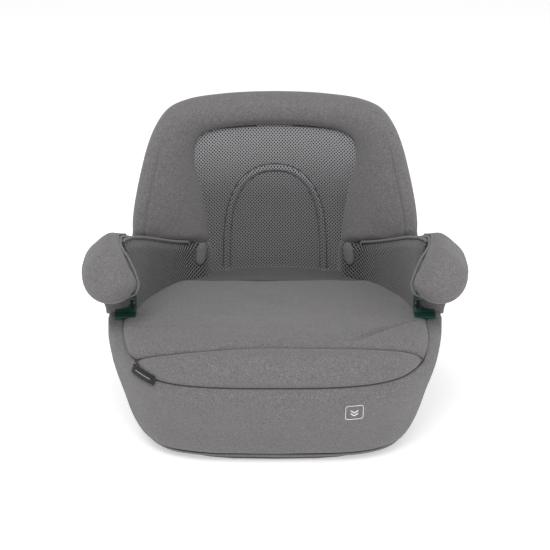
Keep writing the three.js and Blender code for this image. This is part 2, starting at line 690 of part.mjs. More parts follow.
for (const [side, sign] of SIDES) {
  const place = (name, geometry, material) =>
    add(`${name}_${side}`, onSide(sign, geometry), material);
  place("side_mesh", sideMesh(), MATERIAL.mesh);
  place("armrest_core", armrestCore(), MATERIAL.shell);
  place("armrest_cover", armrestCover(), MATERIAL.melange);
  place("belt_guide", beltGuide(), MATERIAL.guide);
  place("anchor_arm", anchorArm(), MATERIAL.steel);
  place("connector_housing", connectorHousing(), MATERIAL.shell);
  place("latch_hook", latchHook(), MATERIAL.steel);
  const pinSpan = [ANCHOR_X - HOUSING.half + 1, ANCHOR_X + HOUSING.half - 1];
  place("hook_pin", rod("x", HOOK.pin, [HOOK.y, HOOK.z], pinSpan, 12), MATERIAL.steel);
  place("release_button", releaseButton(), MATERIAL.button);
  place("guide_rail", guideRail(), MATERIAL.steel);
  for (const [end, at] of [["front", [106, -98]], ["rear", [118, 106]]])
    place(`foot_${end}`, rod("z", 17, at, [0, FOOT_H - GAP], 20), MATERIAL.rubber);
  for (const [i, end] of ["front", "rear"].entries()) {
    const at = BOSS_PLACES[i];
    const screw = join(rod("z", 2, at, [6, 88], 10), rod("z", 4.8, at, [5.6, 8.6], 14));
    place(`shell_screw_${end}`, screw, MATERIAL.steel);
  }
  for (const [i, end] of ["lower", "upper"].entries()) {
    const at = SCREW_PLACES[i];
    const y = backRear(...at);
    const screw = join(
      rod("y", 1.8, at, [y - 14, y - 1], 10),
      rod("y", 4.6, at, [y - 2.7, y - 0.6], 14),
    );
    place(`back_screw_${end}`, screw, MATERIAL.steel);
  }
}

export default seat;
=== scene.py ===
import math

import bmesh
import bpy
import numpy as np
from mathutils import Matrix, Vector, kdtree


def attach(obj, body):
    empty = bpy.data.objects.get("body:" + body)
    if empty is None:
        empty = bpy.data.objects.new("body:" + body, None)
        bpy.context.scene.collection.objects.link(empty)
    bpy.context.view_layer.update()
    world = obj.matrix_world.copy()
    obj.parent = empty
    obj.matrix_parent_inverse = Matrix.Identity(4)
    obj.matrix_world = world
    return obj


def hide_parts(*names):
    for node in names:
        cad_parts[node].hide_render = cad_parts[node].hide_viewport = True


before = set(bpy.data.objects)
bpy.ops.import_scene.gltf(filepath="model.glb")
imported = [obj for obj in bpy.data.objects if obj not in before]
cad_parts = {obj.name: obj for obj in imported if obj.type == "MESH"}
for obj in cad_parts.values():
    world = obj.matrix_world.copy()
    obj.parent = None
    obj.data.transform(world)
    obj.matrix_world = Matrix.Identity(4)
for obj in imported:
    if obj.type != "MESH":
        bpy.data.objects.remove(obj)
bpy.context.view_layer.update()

# Shapes are worked out in millimetres in the frame's axes: the child faces -Y, up is +Z.
MM = 0.001
SCENE = bpy.context.scene
SIDES = (("left", -1.0), ("right", 1.0))
QUARTER = math.pi / 2


# ---------------------------------------------------------------- curves and surfaces
def smooth(points):
    """A monotone cubic through (t, value) pairs, level beyond its ends."""
    t, v = np.array(points, float).T
    step = np.diff(t)
    slope = np.diff(v) / step
    tangent = np.zeros_like(v)
    same = slope[:-1] * slope[1:] > 0
    total = np.where(same, slope[:-1] + slope[1:], 1)
    tangent[1:-1] = np.where(same, 2 * slope[:-1] * slope[1:] / total, 0)
    tangent[0], tangent[-1] = slope[0], slope[-1]

    def at(x):
        x = np.clip(np.asarray(x, float), t[0], t[-1])
        i = np.clip(np.searchsorted(t, x, side="right") - 1, 0, len(t) - 2)
        s = (x - t[i]) / step[i]
        a, b = tangent[i] * step[i], tangent[i + 1] * step[i]
        return (
            (2 * s**3 - 3 * s**2 + 1) * v[i]
            + (s**3 - 2 * s**2 + s) * a
            + (3 * s**2 - 2 * s**3) * v[i + 1]
            + (s**3 - s**2) * b
        )

    return at


def ease(x, low, high):
    """A smooth step from 0 at low to 1 at high."""
    s = np.clip((np.asarray(x, float) - low) / (high - low), 0, 1)
    return s * s * (3 - 2 * s)


def bell(x, middle, width):
    """1 at the middle, and nearly 0 two widths away."""
    return np.exp(-(((np.asarray(x, float) - middle) / width) ** 2))


def signed_power(x, power):
    """The power of a size, with its sign kept."""
    return np.sign(x) * np.abs(x) ** power


def unit(vectors):
    return vectors / np.linalg.norm(vectors, axis=-1, keepdims=True)


def lengths(points):
    """Distance along a polyline at each of its points."""
    return np.r_[0, np.cumsum(np.linalg.norm(np.diff(points, axis=0), axis=1))]


def spaced(points, count):
    """Points evenly spaced along a polyline."""
    points = np.asarray(points, float)
    run = lengths(points)
    want = np.linspace(0, run[-1], count)
    return np.stack([np.interp(want, run, c) for c in points.T], -1)


def spline(points, count):
    """Evenly spaced points on a centripetal Catmull-Rom curve."""
    p = np.asarray(points, float)
    p = np.vstack([2 * p[0] - p[1], p, 2 * p[-1] - p[-2]])
    out = []
    for i in range(1, len(p) - 2):
        p0, p1, p2, p3 = p[i - 1 : i + 3]
        k = np.cumsum([0] + [np.linalg.norm(b - a) ** 0.5 for a, b in ((p0, p1), (p1, p2), (p2, p3))])
        t = np.linspace(k[1], k[2], 24, endpoint=False)[:, None]
        a1 = (k[1] - t) / (k[1] - k[0]) * p0 + (t - k[0]) / (k[1] - k[0]) * p1
        a2 = (k[2] - t) / (k[2] - k[1]) * p1 + (t - k[1]) / (k[2] - k[1]) * p2
        a3 = (k[3] - t) / (k[3] - k[2]) * p2 + (t - k[2]) / (k[3] - k[2]) * p3
        b1 = (k[2] - t) / (k[2] - k[0]) * a1 + (t - k[0]) / (k[2] - k[0]) * a2
        b2 = (k[3] - t) / (k[3] - k[1]) * a2 + (t - k[1]) / (k[3] - k[1]) * a3
        out.append((k[2] - t) / (k[2] - k[1]) * b1 + (t - k[1]) / (k[2] - k[1]) * b2)
    out.append(p[-2][None])
    return spaced(np.vstack(out), count)


def mirrored(points, sign):
    return np.asarray(points, float) * np.array([sign, 1, 1])


def normals(grid, wrap_u=False):
    """Unit normals of a grid of points, by its differences."""
    if wrap_u:
        du = np.roll(grid, -1, 0) - np.roll(grid, 1, 0)
    else:
        du = np.gradient(grid, axis=0)
    dv = np.gradient(grid, axis=1)
    n = np.cross(du, dv)
    size = np.linalg.norm(n, axis=-1, keepdims=True)
    return n / np.where(size > 1e-9, size, 1)


# ---------------------------------------------------------------- meshes
def mesh_object(name, points, faces, material):
    mesh = bpy.data.meshes.new(name)
    mesh.from_pydata((np.asarray(points, float) * MM).tolist(), [], [list(map(int, f)) for f in faces])
    mesh.validate()
    obj = bpy.data.objects.new(name, mesh)
    SCENE.collection.objects.link(obj)
    mesh.materials.append(material)
    mesh.polygons.foreach_set("use_smooth", [True] * len(mesh.polygons))
    return obj


def grid_faces(n, m, start=0, wrap_u=False, wrap_v=False, flip=False):
    i = np.arange(n if wrap_u else n - 1)
    j = np.arange(m if wrap_v else m - 1)
    i, j = (g.ravel() for g in np.meshgrid(i, j, indexing="ij"))
    k, l = (i + 1) % n, (j + 1) % m
    quads = np.stack([i * m + j, k * m + j, k * m + l, i * m + l], -1) + start
    return quads[:, ::-1] if flip else quads


def shell_mesh(name, outer, inner, material, wrap_u=False):
    """A closed piece between two grids of points, with its open edges joined."""
    n, m = outer.shape[:2]
    size = n * m
    parts = [grid_faces(n, m, 0, wrap_u), grid_faces(n, m, size, wrap_u, flip=True)]

    def edge(a, turn):
        b = np.roll(a, -1) if wrap_u and len(a) == n else a[1:]
        a = a if len(a) == len(b) else a[:-1]
        quads = np.stack([a, b, b + size, a + size], -1)
        return quads[:, ::-1] if turn else quads

    index = np.arange(size).reshape(n, m)
    parts += [edge(index[:, 0], True), edge(index[:, -1], False)]
    if not wrap_u:
        parts += [edge(index[0], False), edge(index[-1], True)]
    points = np.vstack([outer.reshape(-1, 3), inner.reshape(-1, 3)])
    return mesh_object(name, points, np.vstack(parts), material)


def coordinates(obj):
    co = np.empty(len(obj.data.vertices) * 3)
    obj.data.vertices.foreach_get("co", co)
    return co.reshape(-1, 3) / MM


def set_coordinates(obj, points):
    obj.data.vertices.foreach_set("co", (np.asarray(points, float) * MM).ravel())
    obj.data.update()


def vertex_normals(obj):
    n = np.empty(len(obj.data.vertices) * 3)
    obj.data.vertex_normals.foreach_get("vector", n)
    return n.reshape(-1, 3)


def nearest(points, others):
    """Distance from each point of an array, in space or in a plane, to the nearest of some others."""
    tree = kdtree.KDTree(len(others))
    for i, p in enumerate(others):
        tree.insert((*p, 0)[:3], i)
    tree.balance()
    flat = points.reshape(-1, points.shape[-1])
    return np.array([tree.find((*p, 0)[:3])[2] for p in flat]).reshape(points.shape[:-1])


def distances(points, line):
    """Distance from each point to a polyline, sampled every millimetre."""
    run = lengths(np.asarray(line, float))[-1]
    return nearest(points, spaced(line, max(2, int(run) + 1)))


def tube(name, line, radius, material, sides=10, taper=0.0, closed=False):
    """A round tube along a polyline, with rounded ends."""
    line = np.asarray(line, float)
    count = len(line)
    tangent = np.gradient(line, axis=0)
    if closed:
        tangent = np.roll(line, -1, 0) - np.roll(line, 1, 0)
    tangent = unit(tangent)
    side = np.zeros_like(line)
    up = np.array([0, 0, 1.0]) if abs(tangent[0][2]) < 0.9 else np.array([1.0, 0, 0])
    for i in range(count):
        up = side[i] = unit(up - tangent[i] * (up @ tangent[i]))
    other = np.cross(tangent, side)
    size = np.full(count, float(radius))
    if taper and not closed:
        run = lengths(line)
        rise = np.minimum(run, run[-1] - run) / taper
        size *= np.sqrt(np.clip(1 - (1 - np.clip(rise, 0, 1)) ** 2, 0.02, 1))
    angle = np.linspace(0, 2 * math.pi, sides, endpoint=False)
    c, s = np.cos(angle)[None, :, None], np.sin(angle)[None, :, None]
    rings = line[:, None] + size[:, None, None] * (c * side[:, None] + s * other[:, None])
    points = rings.reshape(-1, 3)
    faces = [list(f) for f in grid_faces(count, sides, wrap_u=closed, wrap_v=True)]
    if not closed:
        faces += [list(range(sides)), [len(points) - 1 - i for i in range(sides)]]
    return mesh_object(name, points, faces, material)


def joined(name, objects):
    """Several meshes as one piece."""
    bpy.ops.object.select_all(action="DESELECT")
    for o in objects:
        o.select_set(True)
    bpy.context.view_layer.objects.active = objects[0]
    bpy.ops.object.join()
    objects[0].name = name
    objects[0].data.name = name
    return objects[0]


CLOTH_FRAMES = 20
CLOTH_CAP = 5.0  # no point moves further than this
CUSHION_PRESSURE, PAD_PRESSURE, ROLL_PRESSURE = 4.0, 60.0, 400.0


def inflate(obj, held, pressure, stiffness=5.0):
    """Cloth under pressure on the piece's own mesh. The held vertices are sewn down."""
    rest = coordinates(obj)
    group = obj.vertex_groups.new(name="sewn")
    group.add([int(i) for i in np.nonzero(held)[0]], 1.0, "REPLACE")
    cloth = obj.modifiers.new("cloth", "CLOTH")
    s = cloth.settings
    s.quality = 5
    s.mass = 0.3
    s.tension_stiffness = s.compression_stiffness = stiffness
    s.shear_stiffness = stiffness / 3
    s.bending_stiffness = 0.5
    s.use_pressure = True
    s.uniform_pressure_force = pressure
    s.effector_weights.gravity = 0
    s.vertex_group_mass = group.name
    cloth.collision_settings.use_collision = False
    cloth.point_cache.frame_start, cloth.point_cache.frame_end = 1, CLOTH_FRAMES
    for f in range(1, CLOTH_FRAMES + 1):
        SCENE.frame_set(f)
    done = obj.evaluated_get(bpy.context.evaluated_depsgraph_get())
    moved = np.empty(len(rest) * 3)
    done.data.vertices.foreach_get("co", moved)
    moved = moved.reshape(-1, 3) / MM - rest
    obj.modifiers.remove(cloth)
    obj.vertex_groups.remove(group)
    SCENE.frame_set(1)
    normal = vertex_normals(obj)
    lift = np.nan_to_num((moved * normal).sum(1))
    lift = CLOTH_CAP * np.tanh(np.maximum(lift, 0) / CLOTH_CAP)
    set_coordinates(obj, rest + normal * lift[:, None])


def border(n, m, margin):
    """Marks the outer points of a grid, and all of its inner sheet, as sewn down."""
    outer = np.ones((n, m), bool)
    outer[margin:-margin, margin:-margin] = False
    return np.concatenate([outer.ravel(), np.ones(n * m, bool)])


# ---------------------------------------------------------------- materials
def material(name):
    mat = bpy.data.materials.new(name)
    mat.use_nodes = True
    tree = mat.node_tree
    tree.nodes.clear()
    out = tree.nodes.new("ShaderNodeOutputMaterial")
    shader = tree.nodes.new("ShaderNodeBsdfPrincipled")
    tree.links.new(shader.outputs[0], out.inputs[0])
    return mat, tree, shader


def wire(tree, node, inputs):
    """Sets or links a node's inputs, by name or number."""
    for key, value in dict(inputs).items():
        if isinstance(value, bpy.types.NodeSocket):
            tree.links.new(value, node.inputs[key])
        else:
            node.inputs[key].default_value = value
    return node


def put(tree, kind, inputs=(), **settings):
    """A node with its settings and inputs."""
    node = tree.nodes.new(kind)
    for key, value in settings.items():
        setattr(node, key, value)
    return wire(tree, node, inputs)


def calc(tree, operation, a, b=0.0, c=0.5, clamp=False):
    return put(tree, "ShaderNodeMath", {0: a, 1: b, 2: c}, operation=operation, use_clamp=clamp).outputs[0]


def ramp(tree, value, stops):
    node = put(tree, "ShaderNodeValToRGB", {0: value})
    line = node.color_ramp
    while len(line.elements) < len(stops):
        line.elements.new(0.5)
    for element, (position, color) in zip(line.elements, stops):
        element.position = position
        element.color = (*color, 1)
    return node.outputs[0]


def place(tree):
    return put(tree, "ShaderNodeTexCoord").outputs["Object"]


def scaled(tree, where, factors):
    return put(tree, "ShaderNodeMapping", {0: where, "Scale": factors}).outputs[0]


def grain(tree, where, size, detail=2.0, rough=0.6):
    """Noise whose features are about size metres across."""
    inputs = {"Vector": where, "Scale": 1 / size, "Detail": detail, "Roughness": rough}
    return put(tree, "ShaderNodeTexNoise", inputs).outputs[0]


def weave(tree, where, pitch):
    """Over-and-under threads on whichever plane the surface faces, from -1 to 1."""
    k = 2 * math.pi / pitch
    xyz = put(tree, "ShaderNodeSeparateXYZ", {0: where}).outputs
    wave = [calc(tree, "SINE", calc(tree, "MULTIPLY", c, k)) for c in xyz]
    facing = put(tree, "ShaderNodeSeparateXYZ", {0: put(tree, "ShaderNodeNewGeometry").outputs["Normal"]}).outputs
    share = [calc(tree, "POWER", calc(tree, "ABSOLUTE", c), 6.0) for c in facing]
    whole = calc(tree, "ADD", calc(tree, "ADD", share[0], share[1]), share[2])
    total = None
    for i, (a, b) in enumerate(((1, 2), (0, 2), (0, 1))):
        part = calc(tree, "MULTIPLY", calc(tree, "MULTIPLY", wave[a], wave[b]), share[i])
        total = part if total is None else calc(tree, "ADD", total, part)
    return calc(tree, "DIVIDE", total, whole)


def bump(tree, height, distance, strength=1.0, under=None):
    inputs = {"Height": height, "Distance": distance, "Strength": strength}
    if under is not None:
        inputs["Normal"] = under
    return put(tree, "ShaderNodeBump", inputs).outputs[0]


def mixed(tree, share, a, b):
    a, b = (color if isinstance(color, bpy.types.NodeSocket) else (*color, 1) for color in (a, b))
    return put(tree, "ShaderNodeMix", {0: share, 6: a, 7: b}, data_type="RGBA").outputs[2]


def melange(name, tone, contrast=1.0, pitch=0.0009, speck=0.0006):
    """Heather-grey woven fabric: light and dark fibres spun together, with a fine weave."""
    mat, tree, shader = material(name)
    where = place(tree)
    fibre = grain(tree, scaled(tree, where, (0.5, 1.0, 1.0)), speck, 3.0, 0.75)
    fleck = put(tree, "ShaderNodeTexVoronoi", {"Vector": where, "Scale": 1 / (speck * 1.7)}).outputs["Color"]
    fleck = put(tree, "ShaderNodeSeparateColor", {0: fleck}).outputs[0]
    cloud = grain(tree, where, 0.05, 2.0, 0.5)
    low, high = 1 - 0.34 * contrast, 1 + 0.34 * contrast
    base = ramp(tree, fibre, [(0.30, [c * low for c in tone]), (0.5, tone), (0.70, [c * high for c in tone])])
    light = [min(1, c * (1 + 0.42 * contrast)) for c in tone]
    dark = [c * (1 - 0.30 * contrast) for c in tone]
    base = mixed(tree, calc(tree, "GREATER_THAN", fleck, 0.9), base, light)
    base = mixed(tree, calc(tree, "LESS_THAN", fleck, 0.12), base, dark)
    worn = mixed(tree, calc(tree, "MULTIPLY", cloud, 0.14), base, [c * 0.78 for c in tone])
    threads = weave(tree, where, pitch)
    shade = calc(tree, "MULTIPLY_ADD", threads, 0.07, 0.07)
    color = mixed(tree, shade, worn, [c * 1.5 for c in tone])
    fine = bump(tree, threads, 0.0003, 0.45)
    fuzz = bump(tree, fibre, 0.0004, 0.4, fine)
    soft = bump(tree, grain(tree, where, 0.012, 2.0, 0.5), 0.0007, 0.3, fuzz)
    wire(tree, shader, {"Base Color": color, "Roughness": 0.92, "Specular IOR Level": 0.2, "Normal": soft})
    wire(tree, shader, {"Sheen Weight": 0.2, "Sheen Roughness": 0.5})
    return mat


def yarn(name, tone, spread=0.25, size=0.0006, painted_shade_heights=None):
    """Knitted mesh yarn. An optional pair of heights in metres gives a painted shade: darkest at and below the
    first, full tone at and above the second.
    """
    mat, tree, shader = material(name)
    where = place(tree)
    fibre = grain(tree, where, size, 3.0, 0.7)
    color = ramp(tree, fibre, [(0.3, [c * (1 - spread) for c in tone]), (0.7, [c * (1 + spread) for c in tone])])
    cloud = grain(tree, where, 0.03, 2.0, 0.5)
    color = mixed(tree, calc(tree, "MULTIPLY", cloud, 0.3), color, [c * 0.7 for c in tone])
    if painted_shade_heights:
        # Painted shade: the yarn darkens to half its tone towards the bottom of the panel.
        height = put(tree, "ShaderNodeSeparateXYZ", {0: where}).outputs[2]
        fade = {"Value": height, "From Min": painted_shade_heights[0], "From Max": painted_shade_heights[1], "To Min": 1.0, "To Max": 0.0}
        dark = put(tree, "ShaderNodeMapRange", fade, interpolation_type="SMOOTHSTEP").outputs[0]
        color = mixed(tree, dark, color, [c * 0.5 for c in tone])
    fuzz = bump(tree, fibre, 0.0004, 0.6)
    wire(tree, shader, {"Base Color": color, "Roughness": 0.7, "Specular IOR Level": 0.3, "Normal": fuzz})
    wire(tree, shader, {"Sheen Weight": 0.15})
    return mat


def moulded(name, tone, roughness, pebble=0.0011, depth=0.00012, specular=0.5, scuffed=True):
    """Moulded plastic with a fine pebble texture, slight clouding and rubbed edges."""
    mat, tree, shader = material(name)
    where = place(tree)
    cells = put(tree, "ShaderNodeTexVoronoi", {"Vector": where, "Scale": 1 / pebble}, feature="SMOOTH_F1")
    pebbles = cells.outputs["Distance"]
    cloud = grain(tree, where, 0.04, 4.0, 0.6)
    color = ramp(tree, cloud, [(0.35, [c * 0.82 for c in tone]), (0.65, [c * 1.15 for c in tone])])
    if scuffed:
        edge = put(tree, "ShaderNodeNewGeometry").outputs["Pointiness"]
        rub = calc(tree, "SUBTRACT", edge, 0.52, clamp=True)
        rub = calc(tree, "MULTIPLY", rub, 6.0, clamp=True)
        rub = calc(tree, "MULTIPLY", rub, grain(tree, where, 0.006, 3.0, 0.7))
        color = mixed(tree, rub, color, [min(1, c * 2.2 + 0.03) for c in tone])
    scratch = grain(tree, scaled(tree, where, (1, 12, 3)), 0.02, 4.0, 0.7)
    gloss = calc(tree, "MULTIPLY_ADD", scratch, 0.18, roughness - 0.09)
    texture = bump(tree, pebbles, depth, 0.6)
    wire(tree, shader, {"Base Color": color, "Roughness": gloss, "Specular IOR Level": specular, "Normal": texture})
    return mat


def plated_steel(name):
    """Zinc-plated steel, brushed along and slightly patchy."""
    mat, tree, shader = material(name)
    where = place(tree)
    brushed = grain(tree, scaled(tree, where, (1, 0.06, 1)), 0.0012, 4.0, 0.7)
    patchy = grain(tree, where, 0.018, 4.0, 0.65)
    color = ramp(tree, patchy, [(0.3, (0.42, 0.43, 0.44)), (0.55, (0.58, 0.59, 0.6)), (0.75, (0.66, 0.65, 0.6))])
    gloss = calc(tree, "MULTIPLY_ADD", brushed, 0.25, 0.24)
    lines = bump(tree, brushed, 0.00008, 0.5)
    wire(tree, shader, {"Base Color": color, "Metallic": 1.0, "Roughness": gloss, "Normal": lines})
    return mat


FABRIC = melange("heather_fabric", (0.150, 0.144, 0.147))
PIPING = melange("piping_fabric", (0.158, 0.151, 0.155), 0.8)
# Painted shade: the real strip between seat and back is the cover's melange at half its tone, for the shade in that
# gap.
GUSSET_SHADE = melange("gusset_fabric", (0.075, 0.071, 0.076), 0.5)
# The back mesh yarn carries a painted shade that darkens it lower down the panel.
MESH_YARN = yarn("mesh_yarn", (0.40, 0.40, 0.41), painted_shade_heights=(0.225, 0.31))
# Painted shadow: the backings behind the nets are real layers, coloured near black to stand for the shadow seen
# through the holes.
MESH_BACKING_SHADOW = yarn("mesh_backing_painted_shadow", (0.010, 0.010, 0.012), 0.4)
SIDE_YARN = yarn("side_mesh_yarn", (0.162, 0.161, 0.166))
# The side mesh backing is coloured near black too: painted shadow in the holes.
SIDE_BACKING_SHADOW = yarn("side_mesh_backing", (0.014, 0.014, 0.016), 0.4)
BINDING = melange("binding_fabric", (0.135, 0.132, 0.135), 0.6)
# Painted shadow: a near-black material for thin tubes laid in the seam valleys and along the hem.
SEAM = yarn("seam_shadow", (0.040, 0.038, 0.040))
# Painted shadow: a near-black material for the tubes along the arch seam's grooves.
ARCH_SEAM_SHADOW = yarn("arch_seam_shadow", (0.045, 0.045, 0.05))
BLACK_PLASTIC = moulded("black_plastic", (0.022, 0.023, 0.026), 0.5)
GREEN_PLASTIC = moulded("green_plastic", (0.007, 0.050, 0.036), 0.38, 0.0009, 0.00006)
RED_PLASTIC = moulded("red_plastic", (0.35, 0.028, 0.02), 0.4)
STEEL = plated_steel("plated_steel")
RUBBER = moulded("rubber", (0.014, 0.014, 0.015), 0.8, 0.0007, 0.0001, 0.3, False)
LABEL = melange("label_fabric", (0.012, 0.012, 0.014), 0.7, 0.0006, 0.0005)
LABEL_THREAD = yarn("label_thread", (0.42, 0.42, 0.43), 0.2, 0.0004)
PRINT = moulded("print_ink", (0.72, 0.72, 0.71), 0.6, 0.0006, 0.00005, 0.3, False)

# ---------------------------------------------------------------- the padded base
BASE_PROFILE = np.array(
    [
        [3, 157, 156, 160],
        [20, 170, 171, 166],
        [45, 182, 186, 170],
        [72, 190, 200, 172],
        [95, 197, 209, 175],
        [112, 201, 212, 176],
        [130, 203, 211, 177],
        [150, 203, 204, 178],
        [168, 200, 190, 178],
    ],
    float,
)
half_width, front_reach, rear_reach = (smooth(BASE_PROFILE[:, [0, i]]) for i in (1, 2, 3))
FRONT_POWER, REAR_POWER = 3.2, 5.0
RIM_Z = 118.0  # where the sides start to round over onto the seat, in front

seat_line = smooth([
    (-200, 160), (-165, 160), (-100, 154.5), (-60, 152), (0, 146.5), (60, 141), (112, 134.5), (130, 134),
])
# Height where the sides start to round over, and of the crest above, by plan angle from the right-hand side.
rim_by_side = smooth([(-50, RIM_Z), (-34, 119), (-24, 127), (-14, 139), (-6, 145), (0, 146)])
crest_by_side = smooth([(-90, 160), (-60, 158.5), (-45, 157), (-30, 155), (-14, 154.5), (0, 155)])


def from_side(a):
    """The plan angle in degrees as seen from the nearer side: -90 in front, 0 beside."""
    degrees = np.degrees(np.angle(np.exp(1j * np.asarray(a, float))))
    return np.where(degrees < -90, -180 - degrees, np.where(degrees > 90, 180 - degrees, degrees))


def rim_z(a):
    return rim_by_side(np.minimum(from_side(a), 0))


def seat_height(x, y):
    return seat_line(y) - 3 * np.maximum((np.abs(x) - 90) / 110, 0) ** 2


def front_power(z):
    """The front corners are squarer near the floor."""
    return FRONT_POWER + 0.6 * (1 - ease(z, 5, 60))


def hull(a, z, inset=0.0):
    """The base's outline at plan angle a and height z, set in by inset."""
    c, s = np.cos(a), np.sin(a)
    power = 2 / np.where(s < 0, front_power(z), REAR_POWER)
    reach = np.where(s < 0, front_reach(z), rear_reach(z))
    x = (half_width(z) - inset) * signed_power(c, power)
    y = (reach - inset) * signed_power(s, power)
    return np.stack(np.broadcast_arrays(x, y, np.asarray(z, float)), -1)


def shoulder(a):
    """How far in the rounded edge of the seat reaches."""
    return 20 + 25 * np.maximum(-np.sin(a), 0) ** 3


def seat_surface(a, v):
    """The padded surface. v below 0 is millimetres under the rim, and above it degrees over the rounded shoulder."""
    a, v = np.broadcast_arrays(np.asarray(a, float), np.asarray(v, float))
    phi = np.radians(np.clip(v, 0, 90))
    depth, rim = shoulder(a), rim_z(a)
    points = hull(a, rim + np.minimum(v, 0), depth * (1 - np.cos(phi)))
    crest = crest_by_side(np.minimum(from_side(a), 0))
    points[..., 2] += (crest - rim) * np.sin(phi)
    return points


def rim_measures(y):
    """The power, half width and reach of the rim's outline, in front or behind by the sign of y."""
    front = y < 0
    reach = np.where(front, front_reach(RIM_Z), rear_reach(RIM_Z))
    return np.where(front, FRONT_POWER, REAR_POWER), half_width(RIM_Z), reach


def plan_angle(across, along, power):
    """The plan angle of a point given as shares of the outline's half width and reach."""
    return np.arctan2(signed_power(along, power / 2), signed_power(across, power / 2))


def rim_angles(count, start, end):
    """Plan angles of points evenly spaced round the rim, between two plan angles in degrees."""
    theta = np.linspace(-1.6 * math.pi, 0.6 * math.pi, 60001)
    c, s = np.cos(theta), np.sin(theta)
    power, half, reach = rim_measures(s)
    r = ((np.abs(c) / half) ** power + (np.abs(s) / reach) ** power) ** (-1 / power)
    run = lengths(np.stack([r * c, r * s], -1))
    a = np.unwrap(plan_angle(r * c / half, r * s / reach, power))
    a -= 2 * math.pi * np.round((a[30000] - theta[30000]) / (2 * math.pi))
    s0, s1 = np.interp(np.radians([start, end]), a, run)
    return np.interp(np.linspace(s0, s1, count), run, a)


# Where the seams run: plan angle from the right-hand side, and height coordinate. The left side is read as its
# mirror image.
UPPER_SEAM = {
    1: [
        (-90, 71.3), (-85, 70.8), (-73.2, 68.8), (-58.3, 58.8), (-49, 47.9), (-42.7, 35.7), (-38.2, 23.9),
        (-34.8, 12),
    ],
    -1: [(-90, 71.3), (-85.6, 70), (-70.4, 59.8), (-58.7, 47.4), (-49.5, 34.7), (-42.4, 22)],
}
LOWER_SEAM = {
    1: [(-90, -2.5), (-68, -2.1), (-53, -0.6), (-43.4, 5), (-34.8, 12)],
    -1: [(-90, -2.5), (-67, -2.4), (-57, -1.2), (-48, 8), (-42.4, 22)],
}
SIDE_SEAM = {
    1: [(-34.8, 12), (-30.9, 25), (-26, 41), (-21.4, 62), (-16, 80), (-9.5, 90)],
    -1: [(-42.4, 22), (-37, 26), (-31.6, 38), (-23.9, 58), (-16.5, 76), (-9.5, 90)],
}
JUNCTION = {side: UPPER_SEAM[side][-1][0] for side in (1, -1)}


def seam_height(table):
    """The seam's height coordinate at plan angles measured all round."""
    curves = {side: smooth(table[side]) for side in (1, -1)}

    def at(a):
        degrees = np.degrees(a)
        return np.where(degrees > -90, curves[1](degrees), curves[-1](-180 - degrees))

    return at


upper_seam, lower_seam, side_seam = (seam_height(t) for t in (UPPER_SEAM, LOWER_SEAM, SIDE_SEAM))
LEFT_END, RIGHT_END = -180 - JUNCTION[-1], JUNCTION[1]


BACK_LEAN = 0.174  # how far the back goes to the rear for each unit of height


def back_front(x, z):
    return 137 + BACK_LEAN * (z - 132) - 0.0024 * x * x


def back_rear(x, z):
    return 137 + BACK_LEAN * (z - 132) + 35 - 0.0019 * x * x


SKIRT_BOTTOM_Z = 7
OPENING_HEIGHT, OPENING_X = 60, 165  # where the skirt clears the connectors, behind
SKIRT_SIDE_Z = 151.5  # its upper edge, hidden under the armrests
LEDGE_Z, DECK_RIM_Z, DECK_REACH = 111.0, 97.0, 75
SEAM_DEPTH, SEAM_WIDTH = 4.4, 4.2


def skirt_grid():
    """The fabric round the base, hem to top edge, all the way round."""
    a = rim_angles(331, -268, 92)[:-1]
    a = np.angle(np.exp(1j * a))
    rim = hull(a, RIM_Z)
    degrees = np.degrees(a)
    between = (degrees > LEFT_END) & (degrees < RIGHT_END)
    y = rim[:, 1]
    top = np.where(between, lower_seam(a), side_seam(a))
    top = np.where(degrees > 0, 90, top)
    rows = np.r_[np.linspace(0, 0.16, 16), np.linspace(0.16, 1, 50)[1:]]
    bottom = SKIRT_BOTTOM_Z + OPENING_HEIGHT * ease(OPENING_X - np.abs(rim[:, 0]), -3, 3) * (y > 100)
    low = bottom - rim_z(a)
    # The first rows climb to the rim and the rest go over the shoulder, where there is one.
    split = 0.76
    climb = np.clip(rows / split, 0, 1)[None]
    bend = np.clip((rows - split) / (1 - split), 0, 1)[None]
    rounded = ease(top, -1, 14)[:, None]
    v = (low[:, None] * (1 - climb) + top[:, None] * bend) * rounded
    v = v + (low[:, None] * (1 - rows) + top[:, None] * rows) * (1 - rounded)
    front = seat_surface(a[:, None], v)
    # Beside the seat it runs straight up under the armrests.
    side = hull(a[:, None], bottom[:, None] + (SKIRT_SIDE_Z - bottom[:, None]) * rows[None], 0.4)
    # Behind them it rounds over the deck to the back.
    inset = np.linspace(0, DECK_REACH, 200)[None]
    deck = hull(a[:, None], 105.0, inset)
    outside = (deck[..., 1] > back_rear(deck[..., 0], 112) - 2) | (np.abs(deck[..., 0]) > 186)
    inward = np.maximum((outside.cumprod(1).sum(1) - 1) * DECK_REACH / 199, 4)
    e = inward[:, None] * bend**1.4
    lift = np.sqrt(np.clip(1 - (1 - np.clip(e / np.minimum(inward, 18)[:, None], 0, 1)) ** 2, 0, 1))
    z = bottom[:, None] + (DECK_RIM_Z - bottom[:, None]) * climb
    rear = hull(a[:, None], z, e)
    rear[..., 2] = z + (LEDGE_Z - DECK_RIM_Z) * lift
    beside = ease(y, -60, -44)[:, None, None]
    behind = ease(y, 114, 136)[:, None, None]
    grid = front * (1 - beside) + side * beside
    return a, grid * (1 - behind) + rear * behind


BASE_MIDDLE = (0, 0, 60)


def away_from(centre, points, n):
    """Normals turned away from a centre."""
    return np.where((n * (points - np.asarray(centre, float))).sum(-1, keepdims=True) < 0, -n, n)


def outward(grid, wrap_u=False, centre=BASE_MIDDLE):
    """Unit normals of a grid that point away from the middle of the base."""
    return away_from(centre, grid, normals(grid, wrap_u))


